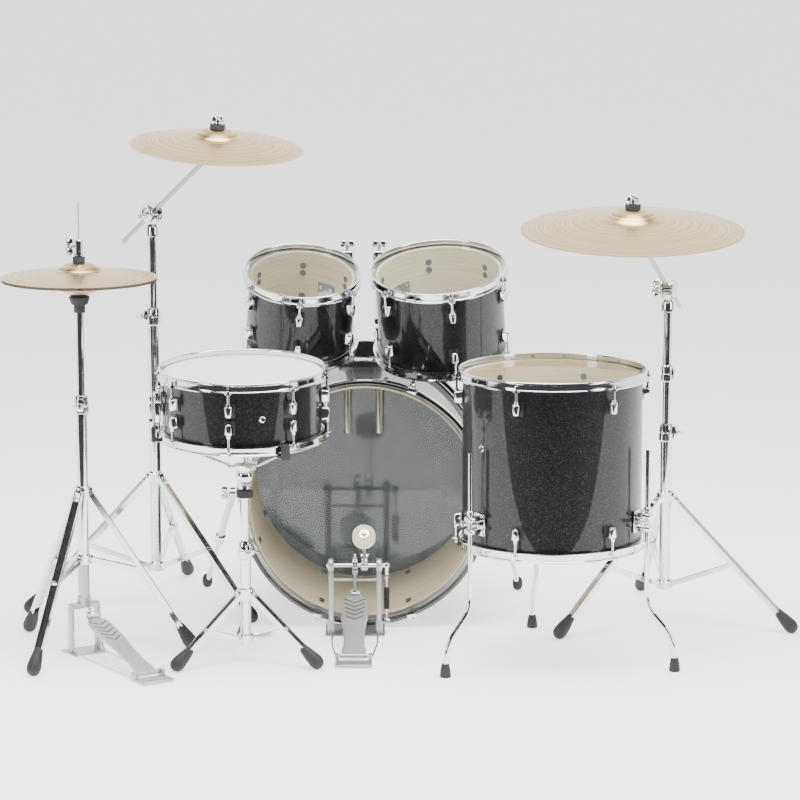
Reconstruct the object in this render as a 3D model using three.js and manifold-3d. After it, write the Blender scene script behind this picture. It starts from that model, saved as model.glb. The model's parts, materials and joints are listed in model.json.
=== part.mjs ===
// Acoustic drum kit: bass drum with two mounted toms, floor tom, snare drum, hi-hat,
// crash and ride cymbals, with their stands and pedals.
// Millimetres. The player sits on the -Y side, +X is to the player's right, +Z is up.
// The origin lies on the floor, under the centre of the bass drum's batter hoop.

import * as THREE from 'three';
import { mergeVertices } from 'three/addons/utils/BufferGeometryUtils.js';
import Module from 'manifold-3d';

const wasm = await Module();
wasm.setup();

// ---------------------------------------------------------------- driving dimensions

const CLEARANCE = 0.3; // between pieces that touch
const RUNNING = 0.6; // round a tube that slides or a pin that turns

// Drums: radius and depth of the shell, its wall, and the angle of the first lug.
const BASS = { name: 'bass', radius: 279.4, depth: 406, wall: 8, lugs: 8, firstLug: -67.5, sides: 32 };
const TOM_10 = { name: 'tom_10', radius: 127, depth: 178, wall: 7, lugs: 6, firstLug: -90, sides: 20 };
const TOM_12 = { name: 'tom_12', radius: 152.4, depth: 203, wall: 7, lugs: 6, firstLug: -80.5, sides: 20 };
const FLOOR_TOM = {
  name: 'floor_tom', radius: 203.2, depth: 381, wall: 7, lugs: 6, firstLug: -114, sides: 24,
};
const SNARE = { name: 'snare', radius: 177.8, depth: 140, wall: 7, lugs: 8, firstLug: -97, sides: 24 };

// Drum heads: a film with a collar that ends in a flesh hoop beside the shell.
const HEAD = { film: 0.8, collarGap: 1.2, reach: 6, bassReach: 4, drop: 8 };

// Pressed steel rim, tension rods and lugs of the toms, the floor tom and the snare.
const RIM = { gap: 1, wall: 3, above: 13, below: 9, flange: 11, flangeDepth: 3 };
const ROD = { radius: 3, offset: 15, intoLug: 1 };
const LUG = { width: 22, height: 30, below: 35, depth: 20 };

// Wooden hoop, claws and rods of the bass drum.
const WOOD_HOOP = { gap: 1, wall: 10, front: 28, back: 10 };
const CLAW = { width: 24, bite: 3, depth: 14, length: 21, rodOffset: 22, rodRadius: 3.5, key: 6 };
const BASS_LUG = { from: 46, length: 32 };
const BASS_FACE_Y = 22; // the batter head's plane

// Spurs that hold the bass drum's front.
const SPUR = { along: 228, drop: 25, bracket: 44, stem: 36, boss: 15, bossRadius: 16, rod: 6 };
const SPUR_FEET = [
  { side: -1, name: 'bass_spur_left', x: -396, y: 424 },
  { side: 1, name: 'bass_spur_right', x: 375, y: 393 },
];

// Tom mount on the bass drum, with two posts that carry the toms on ball-ended L-rods.
const MOUNT = {
  x: -6, y: 360, length: 80, spread: 39, receiver: 15, height: 62, web: 22, webDrop: 8, saddle: 8,
};
const POST = { radius: 9.5, below: 176, ballAbove: 256, lockHeight: 14, lockRadius: 15 };
const SOCKET = {
  size: 32, bore: 11, height: 38, stud: 5, studHeight: 14,
  wing: 34, wingThickness: 5, wingLow: 8, wingHigh: 24,
};
const L_ROD = {
  radius: 5.5, offset: 30, stem: 26, bracketBelow: 105, tail: 45,
  blockWidth: 28, blockWall: 8, blockHeight: 44,
};

// Places of the drums: the centre of the top head, and the lean of the drum's axis.
const TOM_GAP = 9; // between the two toms' rims at the closest
const TOM_MIDDLE_X = 0.5; // between the two toms
const TOM_10_PLACE = { y: 154.4, above: 243, toPlayer: 20, toRight: 3.2, bracket: 60 };
const TOM_12_PLACE = { y: 198.6, above: 245.5, toPlayer: 16, toRight: -3.2, bracket: 129.5 };
const FLOOR_TOM_PLACE = { x: 428, y: -304, z: 661 };
const SNARE_PLACE = { x: -272, y: -308, z: 665, toPlayer: 3 };

// Floor tom legs.
const LEG = {
  angles: [-144, -24, 96], radius: 5.5, offset: 28, above: 165, footReach: 97,
  bendTop: 145, bendFoot: 80, bendIn: 6, blockZ: 338, block: 44, blockWidth: 30, blockReach: 40,
};
const RUBBER_FOOT = { radius: 13, top: 9, height: 32 };

// Snare throw-off, its lever, the butt plate and the wires.
const STRAINER = {
  angle: 185, width: 26, height: 78, depth: 24, below: 38, pivotUp: 10, pivotOut: 6,
  pinRadius: 5, pinHalf: 9, lever: 56, leverWidth: 14, leverThickness: 6,
};
const BUTT = { angle: 5, depth: 14, width: 34, up: 30, height: 32 };
const WIRES = { width: 42, length: 316, thickness: 1.6, gap: 1.2 };

// Stands: floor places and the tripods' sizes.
const SNARE_STAND = {
  name: 'snare_stand_base', x: -268, y: -328, collar: 156, lower: 52, clamp: 259,
  footRadius: 182, angles: [-146, -26, 94], tube: 12.5, bore: 9.6,
};
const HIHAT_STAND = {
  name: 'hihat_base', x: -643, y: -244, collar: 376, lower: 219, clamp: 580,
  footRadius: 244, angles: [-113, 7, 127], tube: 13, bore: 9.6,
};
const CRASH_STAND = {
  name: 'crash_stand_base', x: -510, y: 245, collar: 315, lower: 94, clamp: 709,
  footRadius: 316, angles: [-160.5, -40.5, 79.5], tube: 14, bore: 11,
};
const RIDE_STAND = {
  name: 'ride_stand_base', x: 714, y: 65, collar: 303, lower: 91, clamp: 459,
  footRadius: 318, angles: [-144, -24, 96], tube: 14, bore: 11,
};
const TRIPOD = {
  legWidth: 18, legThickness: 8, legStart: 16, braceAt: 0.52, braceWidth: 14,
  braceThickness: 5, collarHeight: 30, collarWall: 7, clampHeight: 40, clampWall: 5,
};
const WING = { into: 3, reach: 20, bolt: 4, span: 36, thickness: 5, depth: 6 };

// Snare basket.
const BASKET = {
  hub: 430, hubRadius: 21, angles: [180, 300, 60], arm: 7, armWidth: 16, armInto: 6, shoulder: 26,
  shoulderGap: 3, tipGap: 1, lip: 24, lipGap: 3, grip: 8,
};
const SNARE_POST = { radius: 9, insert: 130 };

// Hi-hat: cymbal heights, rod and pedal.
const HIHAT = {
  edge: 868, opening: 6, rodTop: 1043, rod: 3.2, rodBelow: 20, upper: 9, insert: 160, cupHeight: 26,
  cupFoot: 19, cupTop: 24, clutchRadius: 9, clutchHeight: 38, felt: 15, feltHeight: 14, wingUp: 34,
  wingAngle: 150, toTurn: 32.6,
};

// Cymbals: radius, bell radius and the heights of bow and bell.
const HIHAT_CYMBAL = { radius: 177.8, bell: 55, bow: 14, bellHeight: 20, thickness: 2, hole: 6.5, sides: 24 };
const CRASH_CYMBAL = { radius: 203.2, bell: 58, bow: 22, bellHeight: 22, thickness: 2, hole: 6.5, sides: 24 };
const RIDE_CYMBAL = { radius: 254, bell: 66, bow: 26, bellHeight: 26, thickness: 2, hole: 6.5, sides: 24 };

// Cymbal booms: the pivot on the stand, the cymbal's place and its lean.
const CRASH = {
  pivotZ: 958, x: -343, y: 25, z: 1139, toPlayer: 6.2, toRight: 3.5, behind: 150, tube: 10.4,
  insert: 150,
};
const RIDE = {
  pivotZ: 802, x: 607, y: -265, z: 979, toPlayer: 6.1, toRight: 0, behind: 128, tube: 10.4,
  insert: 150, seamZ: 600,
};
const BOOM = { radius: 6, pin: 4, pinAbove: 34, pinDrop: 46, feltRadius: 18, feltHeight: 12, eye: 17 };
const TILTER = {
  radius: 22, width: 18, cheek: 7, neck: 16, neckGap: 8, neckHeight: 26, arm: 3.4, armStart: 4,
};
const SEAM = { wall: 6, half: 20 };

// Kick pedal.
const KICK = {
  x: -22, baseHalf: 70, baseDepth: 120, baseFront: 20, plate: 4, postSpread: 56, postY: -70,
  postTop: 182, postWidth: 13, postDepth: 22, axle: 165, axleRadius: 5, axleOver: 5, heelY: -345,
  heelZ: 15, heelLength: 58, toeY: -108, toeZ: 108, plateWidth: 84, sprocket: 27, sprocketWidth: 12,
};
const BEATER = {
  x: 22, lean: 50, length: 143, shaft: 4, tail: 26, radius: 27, depth: 26, clamp: 13, clampHalf: 9,
};
const SPRING = {
  x: 74, radius: 7.5, footZ: 26, footHeight: 6, footDepth: 16, crankHalf: 5, crankDepth: 16,
  crankDown: 26, crankUp: 8,
};
const LINK_ROD = { radius: 3, spread: 31 };

// Heel plates, hinge ears and boards of both pedals.
const HEEL = { height: 9, gap: 11, ear: 9, earBack: 18, earFront: 8, earAbove: 7, rodInto: 12 };
const BOARD = { narrower: 22, thickness: 7, barrel: 5.5, barrelGap: 0.6 };

// Hi-hat pedal, in the stand's own frame with the heel towards -Y.
const HIHAT_PEDAL = {
  toeY: -34, toeZ: 92, heelY: -300, heelZ: 14, heelLength: 54, plateWidth: 78, frameHalf: 34,
  frameTop: 118, bar: 10, barDepth: 18, bridge: 14, plateLength: 70, plate: 4,
};

// ------------------------------------------------------------------------- materials

const wrap = () => new THREE.MeshStandardMaterial({ color: 0x141416, roughness: 0.18, metalness: 0.3 });
const chrome = () => new THREE.MeshStandardMaterial({ color: 0xd6d9dc, roughness: 0.12, metalness: 1 });
const film = () => new THREE.MeshStandardMaterial({ color: 0xe8ecee, roughness: 0.1, metalness: 0 });
const coated = () => new THREE.MeshStandardMaterial({ color: 0xf1f1ee, roughness: 0.7, metalness: 0 });
const blackGloss = () => new THREE.MeshStandardMaterial({ color: 0x0b0b0c, roughness: 0.12, metalness: 0 });
const felt = () => new THREE.MeshStandardMaterial({ color: 0xe9dfc8, roughness: 0.95, metalness: 0 });
const bronze = () => new THREE.MeshStandardMaterial({ color: 0xb99a62, roughness: 0.32, metalness: 1 });
const steel = () => new THREE.MeshStandardMaterial({ color: 0xb9bcbf, roughness: 0.35, metalness: 1 });

// --------------------------------------------------------------------- solid helpers

const radians = THREE.MathUtils.degToRad;
const UP = new THREE.Vector3(0, 0, 1);

function vector(x, y, z) {
  return new THREE.Vector3(x, y, z);
}

// A point at a distance and an angle from a vertical axis.
function polar(radius, angle, z) {
  return vector(radius * Math.cos(radians(angle)), radius * Math.sin(radians(angle)), z);
}

// A three.js geometry as a closed solid, with shared corners merged.
function solid(geometry) {
  const bare = geometry.clone();
  bare.deleteAttribute('normal');
  bare.deleteAttribute('uv');
  const merged = mergeVertices(bare, 1e-3);
  const corners = Array.from(merged.index.array);
  const triangles = [];
  for (let i = 0; i < corners.length; i += 3) {
    const [a, b, c] = corners.slice(i, i + 3);
    if (a !== b && b !== c && c !== a) triangles.push(a, b, c);
  }
  const vertProperties = new Float32Array(merged.attributes.position.array);
  const triVerts = new Uint32Array(triangles);
  return new wasm.Manifold(new wasm.Mesh({ numProp: 3, vertProperties, triVerts }));
}

function geometryOf(body) {
  const mesh = body.getMesh();
  const geometry = new THREE.BufferGeometry();
  geometry.setAttribute('position', new THREE.BufferAttribute(mesh.vertProperties, 3));
  geometry.setIndex(new THREE.BufferAttribute(mesh.triVerts, 1));
  return geometry;
}

function join(...shapes) {
  const [first, ...others] = shapes.map(solid);
  return geometryOf(others.reduce((body, other) => body.add(other), first));
}

function cut(shape, ...tools) {
  return geometryOf(tools.reduce((body, tool) => body.subtract(solid(tool)), solid(shape)));
}

// Adds a named sub-part to a group.
function addPart(parent, name, geometry, material) {
  const closed = geometryOf(solid(geometry));
  closed.computeVertexNormals();
  const mesh = new THREE.Mesh(closed, material);
  mesh.name = name;
  parent.add(mesh);
}

function addGroup(parent, name, x, y, z) {
  const group = new THREE.Group();
  group.name = name;
  group.position.set(x, y, z);
  parent.add(group);
  return group;
}

// Turned shape about +Z from its profile of [radius, height] points.
function turned(profile, sides) {
  const points = profile.map(([radius, height]) => new THREE.Vector2(radius, height));
  return new THREE.LatheGeometry(points, sides).rotateX(Math.PI / 2);
}

function tubeRing(inner, outer, low, high, sides) {
  return turned([[inner, low], [outer, low], [outer, high], [inner, high], [inner, low]], sides);
}

// Upright cylinder or cone.
function disc(x, y, low, high, radius, sides = 8, topRadius = radius) {
  return new THREE.CylinderGeometry(topRadius, radius, high - low, sides)
    .rotateX(Math.PI / 2).translate(x, y, (low + high) / 2);
}

// Round rod between two points.
function rod(from, to, radius, sides = 6) {
  const length = from.distanceTo(to);
  const turn = new THREE.Quaternion().setFromUnitVectors(UP, to.clone().sub(from).normalize());
  return new THREE.CylinderGeometry(radius, radius, length, sides)
    .rotateX(Math.PI / 2).applyQuaternion(turn)
    .translate((from.x + to.x) / 2, (from.y + to.y) / 2, (from.z + to.z) / 2);
}

// Flat bar between two points, its width level.
function bar(from, to, width, thickness) {
  const along = to.clone().sub(from).normalize();
  const across = along.clone().cross(UP).normalize();
  const through = along.clone().cross(across);
  const turn = new THREE.Matrix4().makeBasis(across, through, along);
  return new THREE.BoxGeometry(width, thickness, from.distanceTo(to)).applyMatrix4(turn)
    .translate((from.x + to.x) / 2, (from.y + to.y) / 2, (from.z + to.z) / 2);
}

function block(low, high) {
  return new THREE.BoxGeometry(high.x - low.x, high.y - low.y, high.z - low.z)
    .translate((low.x + high.x) / 2, (low.y + high.y) / 2, (low.z + high.z) / 2);
}

// Block that stands out from a round wall, at an angle round the axis.
function radialBlock(angle, inner, outer, width, low, high) {
  return block(vector(inner, -width / 2, low), vector(outer, width / 2, high)).rotateZ(radians(angle));
}

// Share of a shell's radius that a bracket starts from, inside its wall.
const INTO_SHELL = 0.985;

function lugAngles(drum) {
  return Array.from({ length: drum.lugs }, (_, i) => drum.firstLug + (360 / drum.lugs) * i);
}

// Turns a group so that its +Z leans towards the player and to the right.
function lean(group, toPlayer, toRight) {
  const axis = vector(Math.sin(radians(toRight)), -Math.sin(radians(toPlayer)), 0);
  axis.z = Math.sqrt(1 - axis.x ** 2 - axis.y ** 2);
  group.quaternion.setFromUnitVectors(UP, axis);
}

const kit = new THREE.Group();

// ----------------------------------------------------------------------- drum pieces

function headShape(drum, reach = HEAD.reach) {
  const collar = drum.radius + HEAD.collarGap;
  const edge = drum.radius + reach;
  const top = CLEARANCE + HEAD.film;
  return turned([[0, CLEARANCE], [collar, CLEARANCE], [collar, -HEAD.drop], [edge, -HEAD.drop],
    [edge, top], [0, top]], drum.sides);
}

// Rim with its tension rods, each screwed into a lug on the shell.
function rimShape(drum, angles) {
  const inner = drum.radius + HEAD.reach + RIM.gap;
  const flange = inner + RIM.flange;
  const wall = inner + RIM.wall;
  const flangeTop = RIM.flangeDepth - RIM.below;
  const ring = turned([[inner, -RIM.below], [flange, -RIM.below], [flange, flangeTop], [wall, flangeTop],
    [wall, RIM.above], [inner, RIM.above], [inner, -RIM.below]], drum.sides);
  const rodTop = RIM.flangeDepth / 2 - RIM.below;
  const parts = angles.flatMap((angle) => {
    const top = polar(drum.radius + ROD.offset, angle, rodTop);
    const foot = polar(drum.radius + ROD.offset, angle, -LUG.below - ROD.intoLug);
    const back = drum.radius + 2 * CLEARANCE;
    return [rod(foot, top, ROD.radius, 4),
      radialBlock(angle, back, back + LUG.depth, LUG.width, -LUG.below - LUG.height, -LUG.below)];
  });
  return join(ring, ...parts);
}

// Wooden hoop with claws, rods and lugs.
function hoopShape(drum, angles) {
  const inner = drum.radius + HEAD.bassReach + WOOD_HOOP.gap;
  const outer = inner + WOOD_HOOP.wall;
  const ring = tubeRing(inner, outer, -WOOD_HOOP.back, WOOD_HOOP.front, drum.sides);
  const rodRing = drum.radius + CLAW.rodOffset;
  const parts = angles.flatMap((angle) => [
    radialBlock(angle, outer - CLAW.bite, outer + CLAW.depth, CLAW.width,
      WOOD_HOOP.front - CLAW.length + CLAW.bite, WOOD_HOOP.front + CLAW.bite),
    rod(polar(rodRing, angle, -BASS_LUG.from - ROD.intoLug),
      polar(rodRing, angle, WOOD_HOOP.front + CLAW.key), CLAW.rodRadius, 4),
    radialBlock(angle, drum.radius + 2 * CLEARANCE, rodRing + CLAW.key, CLAW.width,
      -BASS_LUG.from - BASS_LUG.length, -BASS_LUG.from),
  ]);
  return join(ring, ...parts);
}

// Moves a piece made for the top end to the other end of the drum.
function toBottom(geometry, drum) {
  return geometry.rotateX(Math.PI).translate(0, 0, -drum.depth);
}

function shellShape(drum) {
  return tubeRing(drum.radius - drum.wall, drum.radius, -drum.depth, 0, drum.sides);
}

function bottomAngles(drum) {
  return lugAngles(drum).map((angle) => -angle);
}

function addRimsAndHeads(group, drum, topHead, bottomHead, topFinish) {
  const bottomRim = toBottom(rimShape(drum, bottomAngles(drum)), drum);
  addPart(group, `${drum.name}_top_rim`, rimShape(drum, lugAngles(drum)), chrome());
  addPart(group, `${drum.name}_bottom_rim`, bottomRim, chrome());
  addPart(group, topHead, headShape(drum), topFinish);
  addPart(group, bottomHead, toBottom(headShape(drum), drum), film());
}

// ------------------------------------------------------------------------- bass drum

const HOOP_RADIUS = BASS.radius + HEAD.bassReach + WOOD_HOOP.gap + WOOD_HOOP.wall;
const BASS_CENTRE_Z = KICK.plate + 2 * CLEARANCE + HOOP_RADIUS;
const bass = addGroup(kit, 'bass_drum', 0, BASS_FACE_Y, BASS_CENTRE_Z);
bass.rotation.x = Math.PI / 2;

// In the drum's own frame +Z runs out of the batter head and +Y is up.
const mountAlong = BASS_FACE_Y - MOUNT.y;
const postXs = [MOUNT.x - MOUNT.spread, MOUNT.x + MOUNT.spread];
const postHoles = postXs.map((x) => rod(
  vector(x, 0, mountAlong), vector(x, BASS.radius + MOUNT.saddle, mountAlong),
  POST.radius + 2 * RUNNING, 10));
const spurBrackets = [-1, 1].map((side) => {
  const near = BASS.radius * side * INTO_SHELL;
  const far = (BASS.radius + SPUR.stem) * side;
  const half = SPUR.bracket / 2;
  return block(vector(Math.min(near, far), -SPUR.drop - half, -SPUR.along - half),
    vector(Math.max(near, far), -SPUR.drop + half, -SPUR.along + half));
});
const shellWithBrackets = join(shellShape(BASS), ...spurBrackets);
addPart(bass, 'bass_shell', cut(shellWithBrackets, ...postHoles), wrap());
addPart(bass, 'bass_batter_hoop', hoopShape(BASS, lugAngles(BASS)), blackGloss());
addPart(bass, 'bass_front_hoop', toBottom(hoopShape(BASS, bottomAngles(BASS)), BASS), blackGloss());
addPart(bass, 'bass_batter_head', headShape(BASS, HEAD.bassReach), film());
addPart(bass, 'bass_front_head', toBottom(headShape(BASS, HEAD.bassReach), BASS), blackGloss());

// Each spur turns on its bracket about a level axis across the drum.
for (const foot of SPUR_FEET) {
  const inner = foot.side * (BASS.radius + SPUR.stem + RUNNING);
  const outer = inner + foot.side * SPUR.boss;
  const y = BASS_FACE_Y + SPUR.along;
  const z = BASS_CENTRE_Z - SPUR.drop;
  const spur = addGroup(kit, `${foot.name}_pivot`, 0, y, z);
  const middle = vector((inner + outer) / 2, 0, 0);
  const ground = vector(foot.x, foot.y - y, RUBBER_FOOT.radius - z);
  addPart(spur, foot.name, join(
    rod(vector(inner, 0, 0), vector(outer, 0, 0), SPUR.bossRadius, 12),
    rod(middle, ground, SPUR.rod),
    disc(ground.x, ground.y, -z, RUBBER_FOOT.height - z, RUBBER_FOOT.top, 10)), chrome());
}

// ------------------------------------------------------------------- tom mount, posts

const shellTop = BASS_CENTRE_Z + BASS.radius;
const mountTop = shellTop + MOUNT.height;
const mount = addGroup(kit, 'tom_mount_place', MOUNT.x, MOUNT.y, 0);
const saddleHalf = MOUNT.spread + MOUNT.receiver + MOUNT.saddle;
const saddle = block(vector(-saddleHalf, -MOUNT.length / 2, shellTop - MOUNT.saddle),
  vector(saddleHalf, MOUNT.length / 2, shellTop + MOUNT.saddle));
const shellClear = rod(vector(-MOUNT.x, -MOUNT.length, BASS_CENTRE_Z),
  vector(-MOUNT.x, MOUNT.length, BASS_CENTRE_Z), BASS.radius + CLEARANCE, 64);
const receivers = [-1, 1].map((side) => disc(side * MOUNT.spread, 0, shellTop, mountTop,
  MOUNT.receiver, 12));
const web = block(vector(-MOUNT.spread, -MOUNT.web / 2, shellTop),
  vector(MOUNT.spread, MOUNT.web / 2, mountTop - MOUNT.webDrop));
const receiverBores = [-1, 1].map((side) => disc(side * MOUNT.spread, 0,
  shellTop - 2 * MOUNT.saddle, mountTop + 1, POST.radius + RUNNING, 12));
const mountBody = join(saddle, ...receivers, web);
addPart(mount, 'tom_mount', cut(mountBody, shellClear, ...receiverBores), chrome());

// Each post carries a clamp block with a level bore for the ball, and a wing bolt on top.
const ballZ = shellTop + POST.ballAbove;
const POST_NAMES = ['tom_post_left', 'tom_post_right'];
postXs.forEach((x, i) => {
  const post = addGroup(kit, `${POST_NAMES[i]}_place`, x, MOUNT.y, 0);
  const low = ballZ - SOCKET.height / 2;
  const high = ballZ + SOCKET.height / 2;
  const half = SOCKET.size / 2;
  const lockLow = mountTop + CLEARANCE;
  const wingHalf = vector(SOCKET.wing / 2, SOCKET.wingThickness / 2, 0);
  const body = join(
    disc(0, 0, shellTop - POST.below, ballZ, POST.radius, 12),
    disc(0, 0, lockLow, lockLow + POST.lockHeight, POST.lockRadius, 12),
    block(vector(-half, -half, low), vector(half, half, high)),
    disc(0, 0, ballZ, high + SOCKET.studHeight, SOCKET.stud, 8),
    block(vector(-wingHalf.x, -wingHalf.y, high + SOCKET.wingLow),
      vector(wingHalf.x, wingHalf.y, high + SOCKET.wingHigh)));
  const bore = rod(vector(-SOCKET.size, 0, ballZ), vector(SOCKET.size, 0, ballZ),
    SOCKET.bore + RUNNING, 14);
  addPart(post, POST_NAMES[i], cut(body, bore), chrome());
});

// ------------------------------------------------------------------------------- toms

// A tom hangs on its post: the group turns about the ball, and the drum sits in it.
function addTom(drum, place, x, post, ballSide) {
  const pivot = addGroup(kit, `${drum.name}_pivot`, post, MOUNT.y, ballZ);
  const group = addGroup(pivot, drum.name, x - post, place.y - MOUNT.y, shellTop + place.above - ballZ);
  lean(group, place.toPlayer, place.toRight);
  group.updateMatrixWorld(true);
  addPart(group, `${drum.name}_shell`, shellShape(drum), wrap());
  addRimsAndHeads(group, drum, `${drum.name}_top_head`, `${drum.name}_bottom_head`, film());

  // The L-rod runs from the ball to beside the shell, then down through the bracket.
  const toDrum = new THREE.Matrix4().copy(group.matrix).invert();
  const ball = vector(0, 0, 0).applyMatrix4(toDrum);
  const stem = vector(ballSide * L_ROD.stem, 0, 0).applyMatrix4(toDrum);
  const reach = drum.radius + L_ROD.offset;
  const corner = polar(reach, place.bracket, stem.z);
  const end = polar(reach, place.bracket, -L_ROD.bracketBelow - L_ROD.tail);
  const blockLow = -L_ROD.bracketBelow - L_ROD.blockHeight / 2;
  addPart(group, `${drum.name}_bracket`, join(
    new THREE.SphereGeometry(SOCKET.bore, 10, 6).translate(ball.x, ball.y, ball.z),
    rod(ball, stem, L_ROD.radius),
    rod(stem, corner, L_ROD.radius),
    rod(corner, end, L_ROD.radius),
    radialBlock(place.bracket, drum.radius + 2 * CLEARANCE, reach + L_ROD.blockWall, L_ROD.blockWidth,
      blockLow, blockLow + L_ROD.blockHeight)), chrome());
}

const rimReach = HEAD.reach + RIM.gap + RIM.flange;
const tom10X = TOM_MIDDLE_X - TOM_10.radius - rimReach - TOM_GAP / 2;
const tom12X = TOM_MIDDLE_X + TOM_12.radius + rimReach + TOM_GAP / 2;
addTom(TOM_10, TOM_10_PLACE, tom10X, postXs[0], -1);
addTom(TOM_12, TOM_12_PLACE, tom12X, postXs[1], 1);

// -------------------------------------------------------------------------- floor tom

const floorTop = FLOOR_TOM_PLACE.z;
const floorTom = addGroup(kit, 'floor_tom', FLOOR_TOM_PLACE.x, FLOOR_TOM_PLACE.y, floorTop);
const legRadius = FLOOR_TOM.radius + LEG.offset;
const legBlockZ = LEG.blockZ - floorTop;
const legBlockLow = legBlockZ - LEG.block / 2;
const legBlocks = LEG.angles.map((angle) => radialBlock(angle, FLOOR_TOM.radius * INTO_SHELL,
  FLOOR_TOM.radius + LEG.blockReach, LEG.blockWidth, legBlockLow, legBlockLow + LEG.block));
const legBores = LEG.angles.map((angle) => {
  const place = polar(legRadius, angle, 0);
  return disc(place.x, place.y, legBlockZ - LEG.block, legBlockZ + LEG.block, LEG.radius + RUNNING, 10);
});
addPart(floorTom, 'floor_tom_shell', cut(join(shellShape(FLOOR_TOM), ...legBlocks), ...legBores), wrap());
addRimsAndHeads(floorTom, FLOOR_TOM, 'floor_tom_top_head', 'floor_tom_bottom_head', film());

LEG.angles.forEach((angle, i) => {
  const footRadius = FLOOR_TOM.radius + LEG.footReach;
  const straightTop = polar(legRadius, angle, LEG.blockZ + LEG.above - floorTop);
  const bendTop = polar(legRadius, angle, LEG.bendTop - floorTop);
  const bendFoot = polar(footRadius - LEG.bendIn, angle, LEG.bendFoot - floorTop);
  const ground = polar(footRadius, angle, RUBBER_FOOT.height / 2 - floorTop);
  addPart(floorTom, `floor_tom_leg_${i + 1}`, join(
    rod(bendTop, straightTop, LEG.radius), rod(bendFoot, bendTop, LEG.radius),
    rod(ground, bendFoot, LEG.radius),
    disc(ground.x, ground.y, -floorTop, RUBBER_FOOT.height - floorTop, RUBBER_FOOT.radius, 8,
      RUBBER_FOOT.top)), chrome());
});

// ------------------------------------------------------------------------------ snare

const snarePivot = addGroup(kit, 'snare_pivot', SNARE_STAND.x, SNARE_STAND.y, BASKET.hub);
const snare = addGroup(snarePivot, 'snare', SNARE_PLACE.x - SNARE_STAND.x,
  SNARE_PLACE.y - SNARE_STAND.y, SNARE_PLACE.z - BASKET.hub);
lean(snare, SNARE_PLACE.toPlayer, 0);
const strainerLow = -STRAINER.below - STRAINER.height;
const buttLow = strainerLow + BUTT.up;
const buttPlate = radialBlock(BUTT.angle, SNARE.radius * INTO_SHELL, SNARE.radius + BUTT.depth,
  BUTT.width, buttLow, buttLow + BUTT.height);
addPart(snare, 'snare_shell', join(shellShape(SNARE), buttPlate), wrap());
addRimsAndHeads(snare, SNARE, 'snare_batter_head', 'snare_bottom_head', coated());

const strainerBack = SNARE.radius + 2 * CLEARANCE;
const strainerFront = strainerBack + STRAINER.depth;
addPart(snare, 'snare_strainer', radialBlock(STRAINER.angle, strainerBack, strainerFront,
  STRAINER.width, strainerLow, -STRAINER.below), chrome());
const leverPlace = polar(strainerFront + STRAINER.pivotOut, STRAINER.angle, strainerLow + STRAINER.pivotUp);
const leverPivot = addGroup(snare, 'snare_lever_pivot', leverPlace.x, leverPlace.y, leverPlace.z);
const leverHalf = vector(STRAINER.leverThickness / 2, STRAINER.leverWidth / 2, 0);
const lever = join(
  rod(vector(0, -STRAINER.pinHalf, 0), vector(0, STRAINER.pinHalf, 0), STRAINER.pinRadius),
  block(leverHalf.clone().negate(), leverHalf.clone().setZ(STRAINER.lever)));
addPart(leverPivot, 'snare_strainer_lever', lever.rotateZ(radians(STRAINER.angle)), chrome());
const wiresLow = -SNARE.depth - CLEARANCE - HEAD.film - WIRES.gap - WIRES.thickness;
addPart(snare, 'snare_wires', block(vector(-WIRES.length / 2, -WIRES.width / 2, wiresLow),
  vector(WIRES.length / 2, WIRES.width / 2, wiresLow + WIRES.thickness))
  .rotateZ(radians(BUTT.angle)), steel());

// ----------------------------------------------------------------------------- stands

// Wing bolt that stands out sideways from a clamp.
function wingBolt(radius, angle, z) {
  const tip = radius + WING.reach;
  return join(rod(polar(radius - WING.into, angle, z), polar(tip, angle, z), WING.bolt),
    radialBlock(angle, tip - WING.depth, tip, WING.thickness, z - WING.span / 2, z + WING.span / 2));
}

// Outer tube with its height clamp, and three braced legs that reach the floor.
function tripodShape(stand, wingAngle) {
  const collar = stand.tube + TRIPOD.collarWall;
  const clamp = stand.tube + TRIPOD.clampWall;
  const legs = stand.angles.flatMap((angle) => {
    const top = polar(TRIPOD.legStart, angle, stand.collar);
    const foot = polar(stand.footRadius, angle, RUBBER_FOOT.height / 2);
    const joint = top.clone().lerp(foot, TRIPOD.braceAt);
    const inner = polar(TRIPOD.legStart, angle, stand.lower);
    return [bar(top, foot, TRIPOD.legWidth, TRIPOD.legThickness),
      bar(inner, joint, TRIPOD.braceWidth, TRIPOD.braceThickness),
      disc(foot.x, foot.y, 0, RUBBER_FOOT.height, RUBBER_FOOT.radius, 8, RUBBER_FOOT.top)];
  });
  const half = TRIPOD.collarHeight / 2;
  const clampHalf = TRIPOD.clampHeight / 2;
  const body = join(
    disc(0, 0, stand.lower - half, stand.clamp, stand.tube),
    disc(0, 0, stand.clamp - clampHalf, stand.clamp + clampHalf, clamp),
    disc(0, 0, stand.collar - half, stand.collar + half, collar),
    disc(0, 0, stand.lower - half, stand.lower + half, collar),
    wingBolt(stand.tube, wingAngle, stand.clamp), ...legs);
  const bore = disc(0, 0, stand.lower, stand.clamp + TRIPOD.clampHeight, stand.bore + RUNNING);
  return cut(body, bore);
}

function addStand(stand, wingAngle) {
  const group = addGroup(kit, `${stand.name}_place`, stand.x, stand.y, 0);
  addPart(group, stand.name, tripodShape(stand, wingAngle), chrome());
  return group;
}

// -------------------------------------------------------------------- snare stand top

const snareStand = addStand(SNARE_STAND, -90);
addPart(snareStand, 'snare_stand_post', disc(0, 0, SNARE_STAND.clamp - SNARE_POST.insert,
  BASKET.hub - BASKET.hubRadius - CLEARANCE, SNARE_POST.radius), chrome());

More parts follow.
